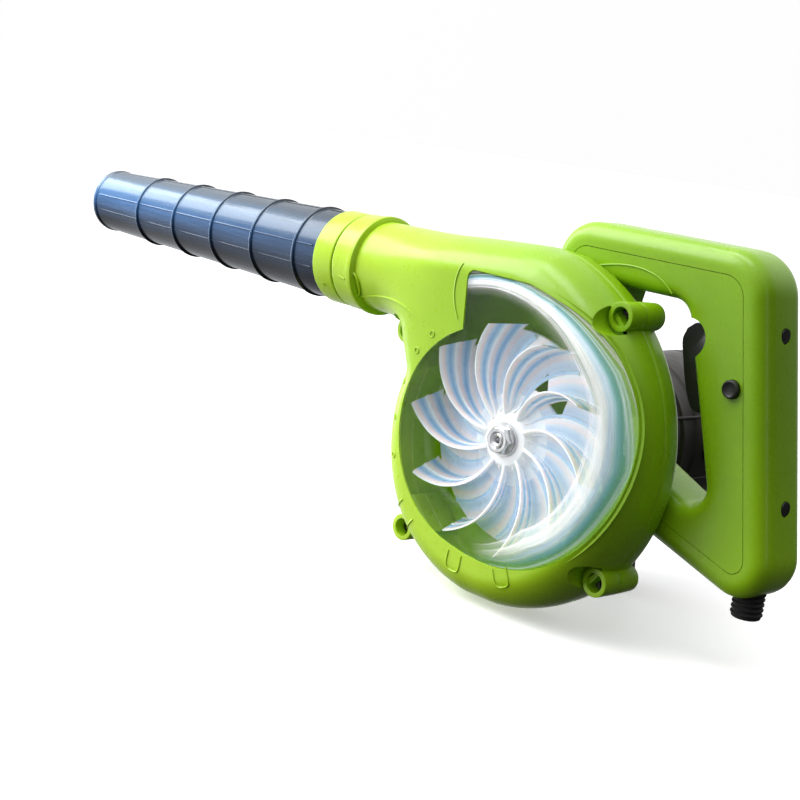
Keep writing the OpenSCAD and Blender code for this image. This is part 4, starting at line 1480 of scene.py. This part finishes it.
def build_world():
    """A white studio that darkens towards one side, so that the object keeps its modelling."""
    world = bpy.data.worlds.new("studio")
    world.use_nodes = True
    tree = world.node_tree
    place = tree.nodes.new("ShaderNodeTexCoord").outputs["Generated"]
    side = tree.nodes.new("ShaderNodeVectorMath")
    side.operation = "DOT_PRODUCT"
    side.inputs[1].default_value = Vector((-0.66, 0.10, 0.74))
    tree.links.new(place, side.inputs[0])
    span = tree.nodes.new("ShaderNodeMapRange")
    span.interpolation_type = "SMOOTHSTEP"
    for key, x in zip(("From Min", "From Max", "To Min", "To Max"), (-0.30, 0.45, 0.05, 1.0)):
        span.inputs[key].default_value = x
    tree.links.new(side.outputs["Value"], span.inputs["Value"])
    background = tree.nodes["Background"]
    background.inputs["Color"].default_value = (1, 1, 1, 1)
    tree.links.new(span.outputs["Result"], background.inputs["Strength"])
    bpy.context.scene.world = world


def build_camera():
    """The photograph's view: lens, direction of view, roll and place."""
    back = direction(44.586, 10.51)
    data = bpy.data.cameras.new("camera")
    data.lens = 72
    data.sensor_width = 36
    data.clip_start, data.clip_end = 0.02, 50
    camera = bpy.data.objects.new("camera", data)
    camera.rotation_mode = "QUATERNION"
    roll = Matrix.Rotation(math.radians(7.935), 4, "Z")
    turn = (-back).to_track_quat("-Z", "Y").to_matrix().to_4x4() @ roll
    camera.rotation_quaternion = turn.to_quaternion()
    camera.location = at(529.137, -594.879, 163.519)
    bpy.context.scene.collection.objects.link(camera)
    bpy.context.scene.camera = camera


# ---- everything together ----
build_camera()
build_stage()
build_lights()

lime = lime_plastic()
black = dark_plastic("black_plastic", (0.008, 0.008, 0.007), (0.028, 0.024, 0.018), 0.32, 0.5)
trigger_black = dark_plastic("trigger_plastic", (0.006, 0.006, 0.007), (0.02, 0.02, 0.022), 0.28, 0.42)
rubber = dark_plastic("rubber", (0.006, 0.006, 0.006), (0.022, 0.022, 0.022), 0.62, 0.82, 900, 0.7)
steel = metal("steel", (0.42, 0.43, 0.45), (0.68, 0.69, 0.71), 0.24)
nut_steel = metal("nut_steel", (0.50, 0.51, 0.53), (0.80, 0.81, 0.83), 0.17)
cast = metal("cast_aluminium", (0.42, 0.43, 0.44), (0.60, 0.61, 0.62), 0.5, 500)
brass = metal("brass", (0.55, 0.36, 0.10), (0.80, 0.58, 0.22), 0.28)
carbon = dark_plastic("carbon", (0.015, 0.015, 0.016), (0.05, 0.05, 0.053), 0.5, 0.7, 2200, 0.8)
laminations = stacked_steel()
windings = wound_copper()

build_front_cover(lime)
build_rear_shell(lime)
build_shroud(clear_plastic())
build_collar(lime)
build_seal(rubber)
build_nozzle_ring(lime)
build_nozzle(nozzle_plastic())
build_impeller(fan_plastic())
build_nut(nut_steel)
build_washer(nut_steel)
build_shaft(nut_steel)
build_motor_housing(black)
build_end_cap(black)
build_foot(black)
build_pads(rubber)
build_handle_cover(lime)
build_handle_body(lime)
build_trigger(trigger_black)
build_lock_button(trigger_black)
build_inlet(rubber)
build_brush_caps(trigger_black)

CARRIED = {
    "dark_steel": ["housing_screws", "handle_screws"],
    "steel": ["impeller_sleeve", "front_bearing", "rear_bearing", "motor_screws", "cap_screws",
              "brush_springs", "trigger_pin", "trigger_spring", "lock_spring"],
    "black": ["cooling_fan", "switch_body"],
    "laminations": ["armature_core", "field_core"],
    "windings": ["armature_windings", "field_coils"],
    "commutator": ["commutator"],
    "cast": ["bearing_bracket"],
    "brass": ["brush_holders"],
    "carbon": ["carbon_brushes"],
}
FINISHES = {
    "dark_steel": metal("dark_steel", (0.05, 0.05, 0.055), (0.12, 0.12, 0.13), 0.35),
    "steel": steel, "black": black, "laminations": laminations, "windings": windings,
    "commutator": metal("commutator_copper", (0.45, 0.18, 0.08), (0.75, 0.36, 0.18), 0.25),
    "cast": cast, "brass": brass, "carbon": carbon,
}
for finish, names in CARRIED.items():
    for name in names:
        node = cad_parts[name]
        node.data.materials.clear()
        node.data.materials.append(FINISHES[finish])
